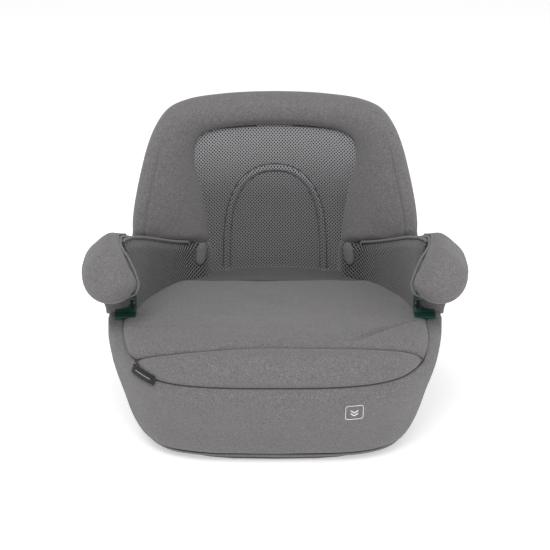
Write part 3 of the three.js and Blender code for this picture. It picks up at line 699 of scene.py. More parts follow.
def pressed(grid, n, line, depth, width):
    """A grid with a seam pressed into it along given normals, so that the pieces beside it still meet."""
    d = distances(grid, line)
    dent = depth * (0.55 * np.exp(-((d / (1.9 * width)) ** 2)) + 0.45 * np.exp(-((d / (0.5 * width)) ** 2)))
    return grid - n * dent[..., None]


def seam_line(seam):
    a = rim_angles(400, LEFT_END, RIGHT_END)
    return seat_surface(a, seam(a))


def side_seam_points(side, count):
    """Plan angles and height coordinates from the junction back to the armrest."""
    degrees = np.linspace(SIDE_SEAM[side][0][0], SIDE_SEAM[side][-1][0], count)
    return np.radians(degrees), smooth(SIDE_SEAM[side])(degrees)


LOWER_LINE, UPPER_LINE = seam_line(lower_seam), seam_line(upper_seam)
SIDE_LINES = {side: mirrored(seat_surface(*side_seam_points(side, 120)), side) for side in (1, -1)}
# The hem line's height: a dent in the skirt, with a dark tube of painted shadow laid in it.
HEM_LINE_Z = 12.0


def pressed_seams(grid, n, *lines, width=SEAM_WIDTH):
    """A grid with the given seams across the front, and then both side seams, pressed into it."""
    for line in lines:
        grid = pressed(grid, n, line, SEAM_DEPTH, width)
    for side in (1, -1):
        grid = pressed(grid, n, SIDE_LINES[side], SEAM_DEPTH, SEAM_WIDTH)
    return grid


def ripple(grid, size, seed):
    """Slow, uneven waves, from -1 to 1."""
    rng = np.random.default_rng(seed)
    total = np.zeros(grid.shape[:2])
    for _ in range(7):
        k = rng.normal(size=3) / size
        total += np.sin(grid @ k + rng.uniform(0, 2 * math.pi))
    return total / 7


def seam_shadow(name, lines, depth, radius):
    """Dark tubes laid in the seams as painted shadow for their valleys. The lines come with the normals they were
    pressed in along.
    """
    pieces = [tube("thread", line - n * depth, radius, SEAM, 6) for line, n in lines]
    return joined(name, pieces)


def line_normals(a, v):
    """Normals of the padded surface at plan angles and height coordinates."""
    step_a = seat_surface(a + 0.004, v) - seat_surface(a - 0.004, v)
    step_v = seat_surface(a, v + 0.8) - seat_surface(a, v - 0.8)
    return away_from(BASE_MIDDLE, seat_surface(a, v), unit(np.cross(step_a, step_v)))


# Painted shadow: dark tubes along the seams and the hem stand for the shade in their valleys.
def build_seam_shadows():
    a = rim_angles(260, LEFT_END, RIGHT_END)
    lines = [(seat_surface(a, f(a)), line_normals(a, f(a))) for f in (lower_seam, upper_seam)]
    for side in (1, -1):
        b, v = side_seam_points(side, 90)
        lines.append((mirrored(seat_surface(b, v), side), mirrored(line_normals(b, v), side)))
    threads = seam_shadow("base_seam_shadows", lines[:1], SEAM_DEPTH - 0.5, 0.85)
    fine = seam_shadow("seat_seam_shadows", lines[1:], SEAM_DEPTH + 0.1, 0.5)
    around = rim_angles(380, -229, 49)
    line = hull(around, HEM_LINE_Z)
    hem = seam_shadow("hem_shadow_line", [(line, unit(line - [0, 0, HEM_LINE_Z]))], 1.6, 0.7)
    return threads, fine, hem


def build_skirt():
    a, outer = skirt_grid()
    n = outward(outer, True)
    plain = outer
    outer = outer + n * (1.1 * ripple(plain, 26, 3))[..., None]
    outer = pressed_seams(outer, n, LOWER_LINE)
    hem = bell(plain[..., 2], HEM_LINE_Z, 1.3) * (plain[..., 1] < 150)
    outer = outer - n * (2.2 * hem)[..., None]
    inner = plain - n * 4.5
    return shell_mesh("cover_skirt_fabric", outer, inner, FABRIC, wrap_u=True)


ROLL_CROWN, ROLL_RIPPLE = 2.6, 1.2


def build_roll():
    a = rim_angles(170, LEFT_END + 0.5, RIGHT_END - 0.5)
    rows = np.linspace(0, 1, 26)
    low, high = lower_seam(a), upper_seam(a)
    v = low[:, None] + (high - low)[:, None] * rows[None]
    plain = seat_surface(a[:, None], v)
    n = outward(plain)
    room = np.linalg.norm(plain[:, -1] - plain[:, 0], axis=1)
    crown = np.sin(math.pi * rows)[None] ** 0.8 * np.minimum(room / 40, 1)[:, None]
    outer = plain + n * (ROLL_CROWN * crown + ROLL_RIPPLE * crown * ripple(plain, 22, 5))[..., None]
    outer = pressed_seams(outer, n, UPPER_LINE, LOWER_LINE)
    inner = plain - n * (4.5 + 6 * np.minimum(room / 30, 1))[:, None, None]
    obj = shell_mesh("thigh_roll_pad", outer, inner, FABRIC)
    fix_facing(obj)
    inflate(obj, border(*outer.shape[:2], 3), ROLL_PRESSURE)
    return obj


CUSHION_REAR_Y = 111.0
wall_x = smooth([[-60, 168], [-30, 163], [0, 157], [40, 145], [77, 131], [105, 118], [130, 104]])


def inset_at(x, y):
    """How far inside the rim a plan point lies, by bisection, and the plan angle there."""
    ax, ay = np.abs(x), np.abs(y)
    power, half, reach = rim_measures(y)
    low, high = np.zeros_like(ax), np.full_like(ax, 150.0)
    for _ in range(40):
        e = (low + high) / 2
        inside = (ax / (half - e)) ** power + (ay / (reach - e)) ** power < 1
        low, high = np.where(inside, e, low), np.where(inside, high, e)
    e = (low + high) / 2
    return e, plan_angle(x / (half - e), y / (reach - e), power)


def cushion_height(x, y):
    e, a = inset_at(x, y)
    depth, rim = shoulder(a), rim_z(a)
    crest = crest_by_side(np.minimum(from_side(a), 0))
    share = np.clip(1 - e / depth, 0, 1)
    over_edge = rim + (crest - rim) * np.sqrt(1 - share**2)
    edge = hull(a, RIM_Z, depth)
    beyond = np.maximum(e - depth, 0)
    inside = seat_height(x, y) + (crest - seat_height(edge[..., 0], edge[..., 1])) * np.exp(-((beyond / 22) ** 2))
    return np.where(e < depth, over_edge, inside)


def crease_lines():
    """Soft folds that the photograph shows across the front corners of the seat, in plan."""
    right = spline([(70, -168), (89, -166), (112, -151), (132, -129), (154, -104), (176, -84)], 120)
    left = spline([(-178, -98), (-166, -112), (-150, -120), (-120, -122)], 90)
    return (right, 2.1), (left, 1.2)


def between(front, rear, left, right):
    """A Coons patch: a grid of points filling four border lines."""
    u, w = np.linspace(0, 1, len(front))[:, None, None], np.linspace(0, 1, len(left))[None, :, None]
    return (
        front[:, None] * (1 - w)
        + rear[:, None] * w
        + left[None] * (1 - u)
        + right[None] * u
        - front[0] * (1 - u) * (1 - w)
        - front[-1] * u * (1 - w)
        - rear[0] * (1 - u) * w
        - rear[-1] * u * w
    )


def build_cushion():
    columns, rows = 110, 100
    front = spaced(UPPER_LINE, columns)[:, :2]
    sides = []
    for side in (-1, 1):
        y = np.linspace(-44, CUSHION_REAR_Y, 80)
        wall = np.stack([side * (wall_x(y) + 0.6), y], -1)
        sides.append(spaced(np.vstack([SIDE_LINES[side][:, :2], wall]), rows))
    left, right = sides
    rear = np.stack([np.linspace(left[-1, 0], right[-1, 0], columns), np.full(columns, CUSHION_REAR_Y)], -1)
    plan = between(front, rear, left, right)
    x, y = plan[..., 0], plan[..., 1]
    plain = np.stack([x, y, cushion_height(x, y)], -1)
    n = outward(plain, centre=(0, 0, -400))
    # A shallow hollow where the child sits, a soft crown towards the roll, and slow waves in the cloth.
    free = ease(distances(plain, np.vstack([plain[0], plain[:, 0][::-1], plain[-1]])), 0, 26)
    swell = -5.5 * bell(y, -35, 65) * bell(x, 0, 105) + 3.2 * bell(y, -134, 32) * bell(x, 0, 135)
    swell = swell + 1.3 * ripple(plain, 24, 8) + 0.6 * ripple(plain, 11, 9)
    for line, strength in crease_lines():
        d = distances(plan, line)
        tangent = line[-1] - line[0]
        side = np.sign((x - line[0][0]) * tangent[1] - (y - line[0][1]) * tangent[0])
        swell = swell - strength * (2.6 * bell(d, 0, 4.0) - 1.5 * bell(d, 9, 6.0) * (side > 0))
    outer = plain + n * (swell * free)[..., None]
    outer = pressed_seams(outer, n, UPPER_LINE, width=SEAM_WIDTH + 0.6)
    outer = pressed(outer, n, plain[:, -1], 4.0, 6.0)
    inner = plain - n * 11
    obj = shell_mesh("seat_cushion_pad", outer, inner, FABRIC)
    inflate(obj, border(columns, rows, 5), CUSHION_PRESSURE, stiffness=15.0)
    return obj


# ---------------------------------------------------------------- the back
BACK_SIDE = [
    (184, 108), (185, 150), (183, 190), (179, 226), (174.5, 251), (168, 280), (160.5, 309), (150, 334),
    (136, 349), (114, 356.5), (68, 360), (0, 361),
]
MESH_SIDE = [
    (85, 140), (85.5, 165), (87, 197), (93, 235), (98, 257), (103.5, 283), (103, 299), (97, 312), (84, 318.5),
    (60, 321), (0, 322),
]


def outline(side, count):
    """A closed outline in (x, z): up the right, down the left, and along the bottom."""
    right = spline(side, count)
    left = right[::-1][1:] * [-1, 1]
    bottom = np.linspace(left[-1], right[0], count // 3 + 2)[1:-1]
    return np.vstack([right, left, bottom])


# Lower hem of the wings, where the side mesh comes out from under them.
hem_z = smooth([(60, 176), (86, 178), (103, 183), (133, 189), (151, 194), (163, 201), (176, 205)])


def hem_relief(x, z):
    """How far the front of the back pad steps back under its hem, with a puffed edge along it."""
    x = np.abs(x)
    hem = hem_z(x)
    below = 1 - ease(z, hem - 5, hem + 4)
    bottom = (1 - ease(z, 143, 150)) * (1 - ease(x, 78, 84))
    puff = 2.6 * bell(z, hem + 8, 7) * ease(x, 84, 100) * (1 - ease(x, 138, 156))
    return 9.0 * below * ease(x, 78, 84) + 15.0 * bottom - puff


# How far in from the outer edge the rows of the back pad's rounded front run, with a few close ones at its seam.
OUTER_STEPS = (24, 19, 17.4, 16.2, 15.0, 13.6, 11.5, 8.8, 6.2, 4.0, 2.3, 1.1, 0.35, 0)
BACK_SEAM_STEP = 16.2


def build_back_pad():
    count = 80
    outer, inner = outline(BACK_SIDE, count), outline(MESH_SIDE, count)
    across = outer - inner
    span = np.linalg.norm(across, axis=1)
    ahead = across / span[:, None]
    # Section: distance from the mesh edge as a share or from the outer edge, and depth behind the front face.
    section = [
        ("in", 0.0, 13), ("in", 0.4, 8.5), ("in", 2.0, 4.0), ("in", 4.5, 1.2), ("in", 8.0, -0.8),
        ("share", 0.22, -2.6), ("share", 0.32, -3.6), ("share", 0.42, -4.0), ("share", 0.52, -4.0),
        ("share", 0.62, -3.6),
        *(("out", w, -3 + 26 * (1 - math.sqrt(1 - (1 - w / 24) ** 2))) for w in OUTER_STEPS),
        ("rear", 0.4, 9.5), ("rear", 1.8, 5.0), ("rear", 4.2, 1.8), ("rear", 7.5, 0.2),
        ("rear", 11.0, -0.4), ("rear", 12.5, 1.2), ("rear", 11.5, 4.0), ("inner", 8.0, 16), ("share", 0.6, 18),
        ("share", 0.3, 18), ("in", 3.0, 18), ("in", 0.6, 16.5),
    ]
    rings = []
    for kind, where, depth in section:
        if kind == "in":
            w = np.full(len(span), where)
        elif kind == "share":
            w = span * where
        else:
            w = span - where * np.minimum(1, 0.36 * span / OUTER_STEPS[0])
        p = inner + ahead * w[:, None]
        x, z = p[:, 0], p[:, 1]
        y = back_rear(x, z) - depth + 0.4 if kind == "rear" else back_front(x, z) + depth
        if kind == "out":
            y = y + 2.0 * bell(where, BACK_SEAM_STEP, 1.1) * (1 - ease(z, 300, 330))
        if kind != "rear":
            y = y + hem_relief(x, z) * np.clip(1 - (depth + 4) / 22, 0, 1)
        rings.append(np.stack([x, y, z], -1))
    grid = np.stack(rings, 1)
    n, m = grid.shape[:2]
    obj = mesh_object("back_pad_frame", grid.reshape(-1, 3), grid_faces(n, m, wrap_u=True, wrap_v=True), FABRIC)
    fix_facing(obj)
    # Sewn down along the mesh, along the outer seam, under the hem and behind.
    sewn = np.array([
        kind in ("rear", "inner") or (kind == "in" and where < 3) or where == BACK_SEAM_STEP
        for kind, where, _ in section
    ])
    sewn[-5:] = True
    low = grid[..., 2] < hem_z(np.abs(grid[..., 0])) + 4
    inflate(obj, (sewn[None] | low).ravel(), PAD_PRESSURE)
    return obj


def fix_facing(obj, merge=False):
    """Turns the faces outwards, and can first merge the points that coincide where a grid closes to a point."""
    bm = bmesh.new()
    bm.from_mesh(obj.data)
    if merge:
        bmesh.ops.remove_doubles(bm, verts=bm.verts, dist=1e-6)
    bmesh.ops.recalc_face_normals(bm, faces=bm.faces)
    bm.to_mesh(obj.data)
    bm.free()


ARCH_WIDTH = 9.0
MESH_RECESS = 6.5


def arch_line(offset=0.0):
    """The raised arch in the mesh panel, as (x, z)."""
    side = [(-68, 138), (-66, 190), (-61, 222), (-46, 252), (-24, 268), (0, 272)]
    points = side + [(-x, z) for x, z in side[-2::-1]]
    curve = spline(points, 300)
    if offset:
        t = unit(np.gradient(curve, axis=0))
        curve = curve + np.stack([-t[:, 1], t[:, 0]], -1) * offset
    return curve


def panel_depth(x, z):
    """Front of the mesh panel behind the back's front face: recessed, with a ridge along the arch."""
    points = np.stack([x, z], -1)
    seam, inner_seam, ridge = (nearest(points, arch_line(-w * ARCH_WIDTH)) for w in (0, 1, 0.5))
    edge = nearest(points, outline(MESH_SIDE, 160))
    seams = 2.4 * bell(seam, 0, 2.6) + 1.2 * bell(inner_seam, 0, 2.0)
    return MESH_RECESS + 2.2 * bell(edge, 0, 9) + seams - 4.2 * bell(ridge, 0, 4.0)


def net(name, surface, keep, u_range, v_range, pitch, rise, yarn_width, thickness, mat):
    """A knitted net with a real diamond hole in every cell, laid on surface(u, v, depth)."""
    rows = int((v_range[1] - v_range[0]) / rise) + 1
    columns = int((u_range[1] - u_range[0]) / pitch) + 2
    j, i = (g.ravel() for g in np.meshgrid(np.arange(rows), np.arange(columns), indexing="ij"))
    u = u_range[0] + (i + 0.5 * (j % 2)) * pitch
    v = v_range[0] + j * rise
    chosen = keep(u, v)
    i, j, u, v = (g[chosen] for g in (i, j, u, v))
    # The cell's corners and edge middles, on a shared lattice.
    corner = np.array([[1, 0], [0.5, 0.5], [0, 1], [-0.5, 0.5], [-1, 0], [-0.5, -0.5], [0, -1], [0.5, -0.5]])
    cell = corner * [pitch / 2, rise]
    cells = np.stack([u, v], -1)[:, None] + cell[None]
    key = np.round(cells.reshape(-1, 2) / [pitch / 4, rise / 2]).astype(int)
    _, first, shared = np.unique(key, axis=0, return_index=True, return_inverse=True)
    lattice = cells.reshape(-1, 2)[first]
    shared = np.ravel(shared).reshape(-1, 8)
    size = 1 - yarn_width / min(pitch, rise * 2) * np.array([1, 1.25, 1, 1.25, 1, 1.25, 1, 1.25])
    hole = np.stack([u, v], -1)[:, None] + cell[None] * size[None, :, None]
    top = surface(lattice[:, 0], lattice[:, 1], 0.0)
    lip = surface(hole[..., 0].ravel(), hole[..., 1].ravel(), thickness * 0.35)
    base = surface(hole[..., 0].ravel(), hole[..., 1].ravel(), thickness)
    points = np.vstack([top, lip, base])
    count, cells_n = len(top), len(u)
    lip_i = count + np.arange(cells_n * 8).reshape(-1, 8)
    base_i = lip_i + cells_n * 8
    nxt = np.roll(np.arange(8), -1)
    quads = [
        np.stack([shared[:, k], shared[:, nxt[k]], lip_i[:, nxt[k]], lip_i[:, k]], -1) for k in range(8)
    ] + [np.stack([lip_i[:, k], lip_i[:, nxt[k]], base_i[:, nxt[k]], base_i[:, k]], -1) for k in range(8)]
    return mesh_object(name, points, np.vstack(quads), mat)


def mesh_half_width(z):
    right = spline(MESH_SIDE, 200)
    order = right[:, 1].argsort()
    return np.interp(z, right[order, 1], right[order, 0])


MESH_TUCK = 2.5  # how far the net runs on under the back pad
BACKING_TOP_Z = 324.5


def build_mesh_panel():
    def surface(x, z, depth):
        y = back_front(x, z) + panel_depth(x, z) + depth
        return np.stack([x, y, z], -1)

    def keep(x, z):
        return (np.abs(x) < mesh_half_width(z) + MESH_TUCK) & (z < MESH_SIDE[-1][1] + MESH_TUCK)

    face = net("back_mesh_net", surface, keep, (-110, 110), (137, 326), 4.2, 2.2, 1.15, 1.6, MESH_YARN)
    z = np.tile(np.linspace(136, BACKING_TOP_Z, 60), (60, 1))
    half = mesh_half_width(z)
    half = np.where(z > 319, half * np.sqrt(np.clip(1 - ((z - 319) / 8) ** 2, 0.02, 1)), half) + 2
    x = np.linspace(-1, 1, 60)[:, None] * half
    # The backing behind the net is coloured near black: painted shadow in the holes.
    front = surface(x, z, 2.4)
    rear = front + [0, 6, 0]
    backing = shell_mesh("back_mesh_backing", front, rear, MESH_BACKING_SHADOW)
    fix_facing(backing)
    seams = []
    # Dark tubes along both lines of the arch seam: painted shadow for its grooves.
    for offset, radius in ((0.0, 0.8), (-ARCH_WIDTH, 0.5)):
        x, z = arch_line(offset)[::3].T
        above = z > 139
        seams.append(tube("seam", surface(x[above], z[above], 0.2), radius, ARCH_SEAM_SHADOW, 8))
    return face, backing, joined("back_mesh_arch_seams", seams)


def build_gusset():
    x = np.linspace(-108, 108, 90)
    t = np.linspace(0, 1, 14)
    start_y, start_z = 109.0, 132.5
    end_z = 139.0 + 3.0 * ease(np.abs(x), 80, 106)
    end_y = np.maximum(back_front(x, end_z) + 8.5, start_y + 5)
    grid = np.stack(
        [
            np.broadcast_to(x[:, None], (90, 14)),
            start_y + (end_y - start_y)[:, None] * t[None],
            start_z + (end_z - start_z)[:, None] * (t[None] ** 1.5) - 1.5 * np.sin(math.pi * t)[None],
        ],
        -1,
    )
    under = grid - [0, -1.5, 3.5]
    # The strip is drawn at half the cover's tone: painted shade for the gap.
    obj = shell_mesh("back_gusset_strip", grid, under, GUSSET_SHADE)
    fix_facing(obj)
    return obj


def build_back_shell():
    """The moulded rear of the back: a smooth dished panel with a raised rim and a recessed field."""
    count, rows = 80, 34
    outer = outline(BACK_SIDE, count)
    middle = np.array([0, 235.0])
    arm = outer - middle
    reach = np.linalg.norm(arm, axis=1, keepdims=True)
    rim = middle + arm * (1 - 7.5 / reach)
    share = np.linspace(0.02, 1, rows)
    p = middle + (rim - middle)[:, None] * share[None, :, None]
    x, z = p[..., 0], p[..., 1]
    edge = (1 - share)[None] * reach
    step = 1.8 * ease(edge, 20, 26) - 1.2 * bell(edge, 36, 3.5)
    rear = np.stack([x, back_rear(x, z) + 0.2 - step, z], -1)
    front = rear + [0, -3.6, 0]
    obj = shell_mesh("back_shell_panel", rear, front, BLACK_PLASTIC, wrap_u=True)
    # The panel's middle is closed on both faces with a fan.
    bm = bmesh.new()
    bm.from_mesh(obj.data)
    bm.verts.ensure_lookup_table()
    rings = [[bm.verts[base + i * rows] for i in range(rear.shape[0])] for base in (0, rear.shape[0] * rows)]
    inner_faces = [f for f in bm.faces if all(any(v is w for w in rings[0] + rings[1]) for v in f.verts)]
    bmesh.ops.delete(bm, geom=inner_faces, context="FACES_ONLY")
    for ring in rings:
        middle_point = sum((v.co for v in ring), Vector()) / len(ring)
        hub = bm.verts.new(middle_point)
        for a, b in zip(ring, ring[1:] + ring[:1]):
            bm.faces.new((a, b, hub))
    bmesh.ops.recalc_face_normals(bm, faces=bm.faces)
    for f in bm.faces:
        f.smooth = True
    bm.to_mesh(obj.data)
    bm.free()
    return obj


# ---------------------------------------------------------------- armrests
arm_top = smooth([
    [-112, 256], [-80, 257.5], [-30, 243], [0, 230.5], [42, 213], [77, 198.5], [104, 188], [125, 183.5],
])
arm_inner = smooth([
    [-112, 160], [-100, 160.5], [-75, 162], [-58, 164], [-30, 161], [0, 155], [40, 143], [77, 129], [105, 116],
    [125, 105],
])
arm_outer = smooth([
    [-112, 225.5], [-100, 227], [-75, 227], [-58, 225], [-20, 219], [30, 213], [75, 209], [118, 206], [125, 205],
])
arm_low = smooth([
    [-112, 186], [-100, 183], [-70, 179], [-60, 152], [-50, 147], [98, 147], [110, 137], [122, 112], [125, 108],
])
NOSE_Y, CAP_SEAM_Y = -150.0, -112.0
ARM_AROUND = 56
NOSE_MIDDLE = np.array([193.0, 0, 221.5])
ARM_AXIS = [194, 0, 212]


wall_top = smooth([
    [-112, 243], [-100, 248], [-80, 250], [-60, 246.5], [-30, 237], [0, 227], [42, 210.5], [77, 196.5], [104, 186],
    [119, 181], [126, 180],
])


def wall_plan(y):
    """Where the inner wall stands beside the seat."""
    return np.interp(y, WALL_PATH[:, 1], WALL_PATH[:, 0])


def arm_section(y):
    """One section of the armrest: from the inner lower corner up the inside, over the top and down the outside."""
    x0, x1, z0, z1 = (float(f(y)) for f in (arm_inner, arm_outer, arm_low, arm_top))
    cx, cz = (x0 + x1) / 2, (z0 + z1) / 2
    rx, rz = (x1 - x0) / 2, (z1 - z0) / 2
    front = 1 - float(ease(y, -72, -35))
    power = 2.05 + 0.15 * float(ease(y, -120, -90)) + 1.35 * float(ease(y, -64, -42))
    over = min(power, 2.15 + 0.8 * float(ease(y, -10, 50)))
    a = math.pi * 1.25 + np.linspace(0, 2 * math.pi, ARM_AROUND, endpoint=False)
    c, s = np.cos(-a), np.sin(-a)
    power = np.where(s > 0, over, power)
    x = cx + rx * signed_power(c, 2 / power)
    z = cz + rz * signed_power(s, 2 / power)
    t = np.clip((z - cz) / rz, 0, 1)
    aside = np.clip(np.abs(x - cx) / (0.75 * rx), 0, 1)
    x = x + aside * front * np.where(x > cx, -11 * t**2, 10 * ease(z, 206, 232))
    low = (x - SIDE_X) * float(ease(y, -92, -68)) * (1 - ease(z, 160, 208))
    x = np.where(x > SIDE_X, x - low, x)
    if y > CAP_SEAM_Y:
        # Behind the round front end the inside is set back for the side mesh, under a padded lip.
        back = wall_plan(y) + 0.5 + 5 * float(ease(y, -97, -90))
        share = ease(float(wall_top(y)) + 1 - z, 0, 7)
        x = np.where(x < cx, np.maximum(x, x + (back - x) * share), x)
    return np.stack([x, np.full(ARM_AROUND, float(y)), z], -1)


def arm_grid():
    nose = NOSE_Y + (CAP_SEAM_Y - NOSE_Y) * (1 - np.cos(np.linspace(0.10, QUARTER, 18)))
    ys = np.r_[nose, -110.5, -109, np.linspace(-106, 108, 60), 111, 114, 117, 119.5, 121.5, 123, 124]
    sections = []
    for y in ys:
        section = arm_section(max(y, CAP_SEAM_Y))
        if y < CAP_SEAM_Y:
            t = (CAP_SEAM_Y - y) / (CAP_SEAM_Y - NOSE_Y)
            shrink = math.sqrt(max(0.0, 1 - t**2.3))
            section = (section - NOSE_MIDDLE) * [shrink, 0, shrink] + NOSE_MIDDLE
        if y > 110:
            section = section.mean(0) + (section - section.mean(0)) * (1 - 0.35 * ((y - 110) / 14) ** 2.5)
        section[:, 1] = y
        sections.append(section)
    return ys, np.stack(sections)


# The crease under the round front end, as (x, z) in its face.
CAP_CREASE = [(206, 199), (194, 198), (182, 199), (170, 202)]


def crease_distance(points):
    """Distance in the face from the crease under the front end."""
    line = spline(CAP_CREASE, 60)
    face = np.stack([np.abs(points[..., 0]), points[..., 2]], -1)
    return np.where(points[..., 1] < -100, nearest(face, line), 99)


def build_armrest(side, sign):
    ys, grid = arm_grid()
    n, m = grid.shape[:2]
    out = grid - ARM_AXIS
    out[..., 1] = np.minimum(grid[..., 1] + 105, 0)
    out /= np.maximum(np.linalg.norm(out, axis=-1, keepdims=True), 1e-6)
    dent = 1.5 * bell(crease_distance(grid), 0, 2.2) - 0.9 * ripple(grid, 20, 11)
    grid = mirrored(grid - out * dent[..., None], sign)
    points = grid.reshape(-1, 3)
    faces = [list(f) for f in grid_faces(n, m, wrap_v=True)]
    points = np.vstack([points, grid[0].mean(0), grid[-1].mean(0)])
    front_hub, rear_hub = len(points) - 2, len(points) - 1
    points[front_hub, 1] = NOSE_Y
    for k in range(m):
        faces.append([front_hub, k, (k + 1) % m])
        faces.append([rear_hub, (n - 1) * m + (k + 1) % m, (n - 1) * m + k])
    obj = mesh_object(f"armrest_cover_fabric_{side}", points, faces, FABRIC)
    fix_facing(obj)
    x, y, z = np.abs(points[:, 0]), points[:, 1], points[:, 2]
    inside = (x < 180) & (y > -118) & (z < wall_top(y) + 4)
    seam = np.abs(y - CAP_SEAM_Y) < 1.5
    held = inside | seam | (y > 105) | (z < 158) | (crease_distance(points) < 1.5)
    inflate(obj, held, PAD_PRESSURE)
    return obj


SIDE_X = 204.2  # just outside the skirt
LIP_END_Y = -14.0


def lip_line(rise):
    """The edge of the padded lip over the side mesh, a given height above it."""
    points = []
    for y in np.linspace(-96, LIP_END_Y, 18):
        section = arm_section(float(y))
        inside = section[section[:, 0] < section[:, 0].mean()]
        inside = inside[inside[:, 2].argsort()]
        z = float(wall_top(y)) + rise
        points.append((np.interp(z, inside[:, 2], inside[:, 0]) - 0.4, float(y), z))
    return points


# Round the inner edge of the front end, and up to where the lip begins.
CAP_PIPE = [
    (174, -113, 191), (164, -115, 197), (160, -115, 207), (162, -115, 218), (166, -114, 229), (170, -112, 237),
]


def wall_path():
    """Plan of the inner wall, from the front of the armrest round onto the back."""
    y = np.linspace(-58, 76, 60)
    wall = np.stack([wall_x(y), y], -1)
    horn = np.array([[177, -101], [176, -90], [172, -75]])
    turn = np.array([[121.5, 95], [113.5, 106], [104.5, 114], [95, 119.5], [88.5, 123.5], [84.5, 129], [82.5, 136]])
    return spline(np.vstack([horn, wall, turn]), 400)


WALL_PATH = wall_path()
WALL_RUN = lengths(WALL_PATH)


def wall_surface(sign):
    """Maps (distance along the wall, height) onto the inner wall."""
    tangent = unit(np.gradient(WALL_PATH, axis=0))
    away = np.stack([-tangent[:, 1], tangent[:, 0]], -1)
    away = np.where(away[:, :1] < 0, -away, away)

    def surface(s, z, depth):
        x, y, ox, oy = (np.interp(s, WALL_RUN, c) for c in (*WALL_PATH.T, *away.T))
        hollow = depth + 5.0 * ease(z, wall_top(y) - 12, wall_top(y) + 3)
        y_lean = BACK_LEAN * (z - 160) * ease(y, 100, 122)
        return np.stack([sign * (x + ox * hollow), y + oy * hollow + y_lean, z], -1)

    return surface


def wall_y(s):
    return np.interp(s, WALL_RUN, WALL_PATH[:, 1])


def wall_bottom(s):
    y = wall_y(s)
    under = arm_low(np.minimum(y, -70)) + 7
    return under + (123 - under) * ease(y, -68, -56)


def build_side_mesh(side, sign):
    surface = wall_surface(sign)

    def keep(s, z):
        return (z < wall_top(wall_y(s)) - 0.5) & (z > wall_bottom(s) - 1) & (wall_y(s) > -84) & (s < WALL_RUN[-1])

    face = net(f"side_mesh_net_{side}", surface, keep, (0, WALL_RUN[-1]), (122, 258), 6.0, 2.6, 0.9, 1.3, SIDE_YARN)
    s, t = np.meshgrid(np.linspace(0, WALL_RUN[-1], 110), np.linspace(0, 1, 26), indexing="ij")
    low, high = wall_bottom(s), wall_top(wall_y(s))
    z = low + (high - low) * t
    front, rear = (surface(s, z, depth) for depth in (1.8, 5.5))
    # A backing behind the side net, coloured near black: painted shadow in the holes.
    backing = shell_mesh(f"side_mesh_backing_{side}", front, rear, SIDE_BACKING_SHADOW)
    fix_facing(backing)
    return face, backing


def build_tab(side, sign):
    """The padded binding that finishes the side mesh where it meets the back panel."""
    u, w = np.linspace(0, math.pi, 15), np.linspace(0, 2 * math.pi, 24, endpoint=False)
    u, w = np.meshgrid(u, w, indexing="ij")
    middle_x, middle_z = 95.5, 165.0
    x = middle_x + 6.5 * np.sin(u) * signed_power(np.cos(w), 0.7)
    z = middle_z - 14.5 * signed_power(np.cos(u), 0.7)
    x = x - 0.10 * (z - middle_z)
    y = back_front(x, z) - 1.0 + 4.0 * np.sin(u) * np.sin(w)
    points = np.stack([sign * x, y, z], -1)
    faces = grid_faces(*x.shape, wrap_v=True)
    obj = mesh_object(f"mesh_binding_{side}", points.reshape(-1, 3), faces, BINDING)
    fix_facing(obj, merge=True)
    return obj


# ---------------------------------------------------------------- small pieces
def build_label():
    """A folded black tab at the left end of the lower seam, with plain woven dashes."""
    half = 17.0
    along = np.linspace(-half, half, 26)
    u, w = np.meshgrid(along, np.linspace(-5.6, 5.6, 10), indexing="ij")
    tilt = -0.22
    dx = u * math.cos(tilt) - w * math.sin(tilt)
    dz = u * math.sin(tilt) + w * math.cos(tilt)
    middle = math.radians(-180 + 50.5)
    per_mm = 0.02 / np.linalg.norm(hull(middle + 0.01, RIM_Z) - hull(middle - 0.01, RIM_Z))
    a = middle + dx * per_mm
    lift = 3 + dz
    outer = seat_surface(a, np.where(lift > 0, 1.5 * lift, lift))
    n = outward(outer)
    face = outer + n * 2.2
    back = outer + n * 0.6
    obj = shell_mesh("woven_label_tab", face, back, LABEL)
    fix_facing(obj)
    dashes = []
    for start in (-10.5, -7.2, -3.9, -0.6, 2.7, 6.0, 9.3):
        line = []
        for place_along in np.linspace(start, start + 2.0, 6):
            share, k = math.modf((place_along + half) / (2 * half) * (len(along) - 1))
            k = int(k)
            line.append(face[k, 5] * (1 - share) + face[k + 1, 5] * share + n[k, 5] * 0.25)
        dashes.append(tube("dash", line, 0.55, LABEL_THREAD, 6))
    return obj, joined("woven_label_dashes", dashes)


PRINT_RISE = 0.45


def print_point(x, z):
    """A point of the print on the front of the skirt."""

    def at(x, z):
        y = -front_reach(z) * (1 - (np.abs(x) / half_width(z)) ** FRONT_POWER) ** (1 / FRONT_POWER)
        return np.array([x, y, z], float)

    p, px, pz = at(x, z), at(x + 0.5, z), at(x, z + 0.5)
    return p + unit(np.cross(px - p, pz - p)) * PRINT_RISE


def build_patch():
    """A printed rounded square with two plain chevrons."""
    cx, cz, half, radius = 91.5, 81.5, 10.2, 3.0
    corners = []
    for sx, sz, start in ((1, 1, 0), (-1, 1, 90), (-1, -1, 180), (1, -1, 270)):
        for t in np.linspace(0, 90, 6):
            angle = math.radians(start + t)
            x = sx * (half - radius) + radius * math.cos(angle)
            z = sz * (half - radius) + radius * math.sin(angle)
            corners.append((cx + x, cz + z))
    corners.append(corners[0])
    path = spaced(corners, 90)[:-1]
    pieces = [tube("frame", [print_point(*p) for p in path], 0.42, PRINT, 8, closed=True)]
    for low in (-4.6, -0.2):
        bend = spaced([(cx - 4.5, cz + low + 3.6), (cx, cz + low), (cx + 4.5, cz + low + 3.6)], 21)
        pieces.append(tube("mark", [print_point(*p) for p in bend], 0.75, PRINT, 8, taper=1.0))
    return joined("printed_patch_mark", pieces)


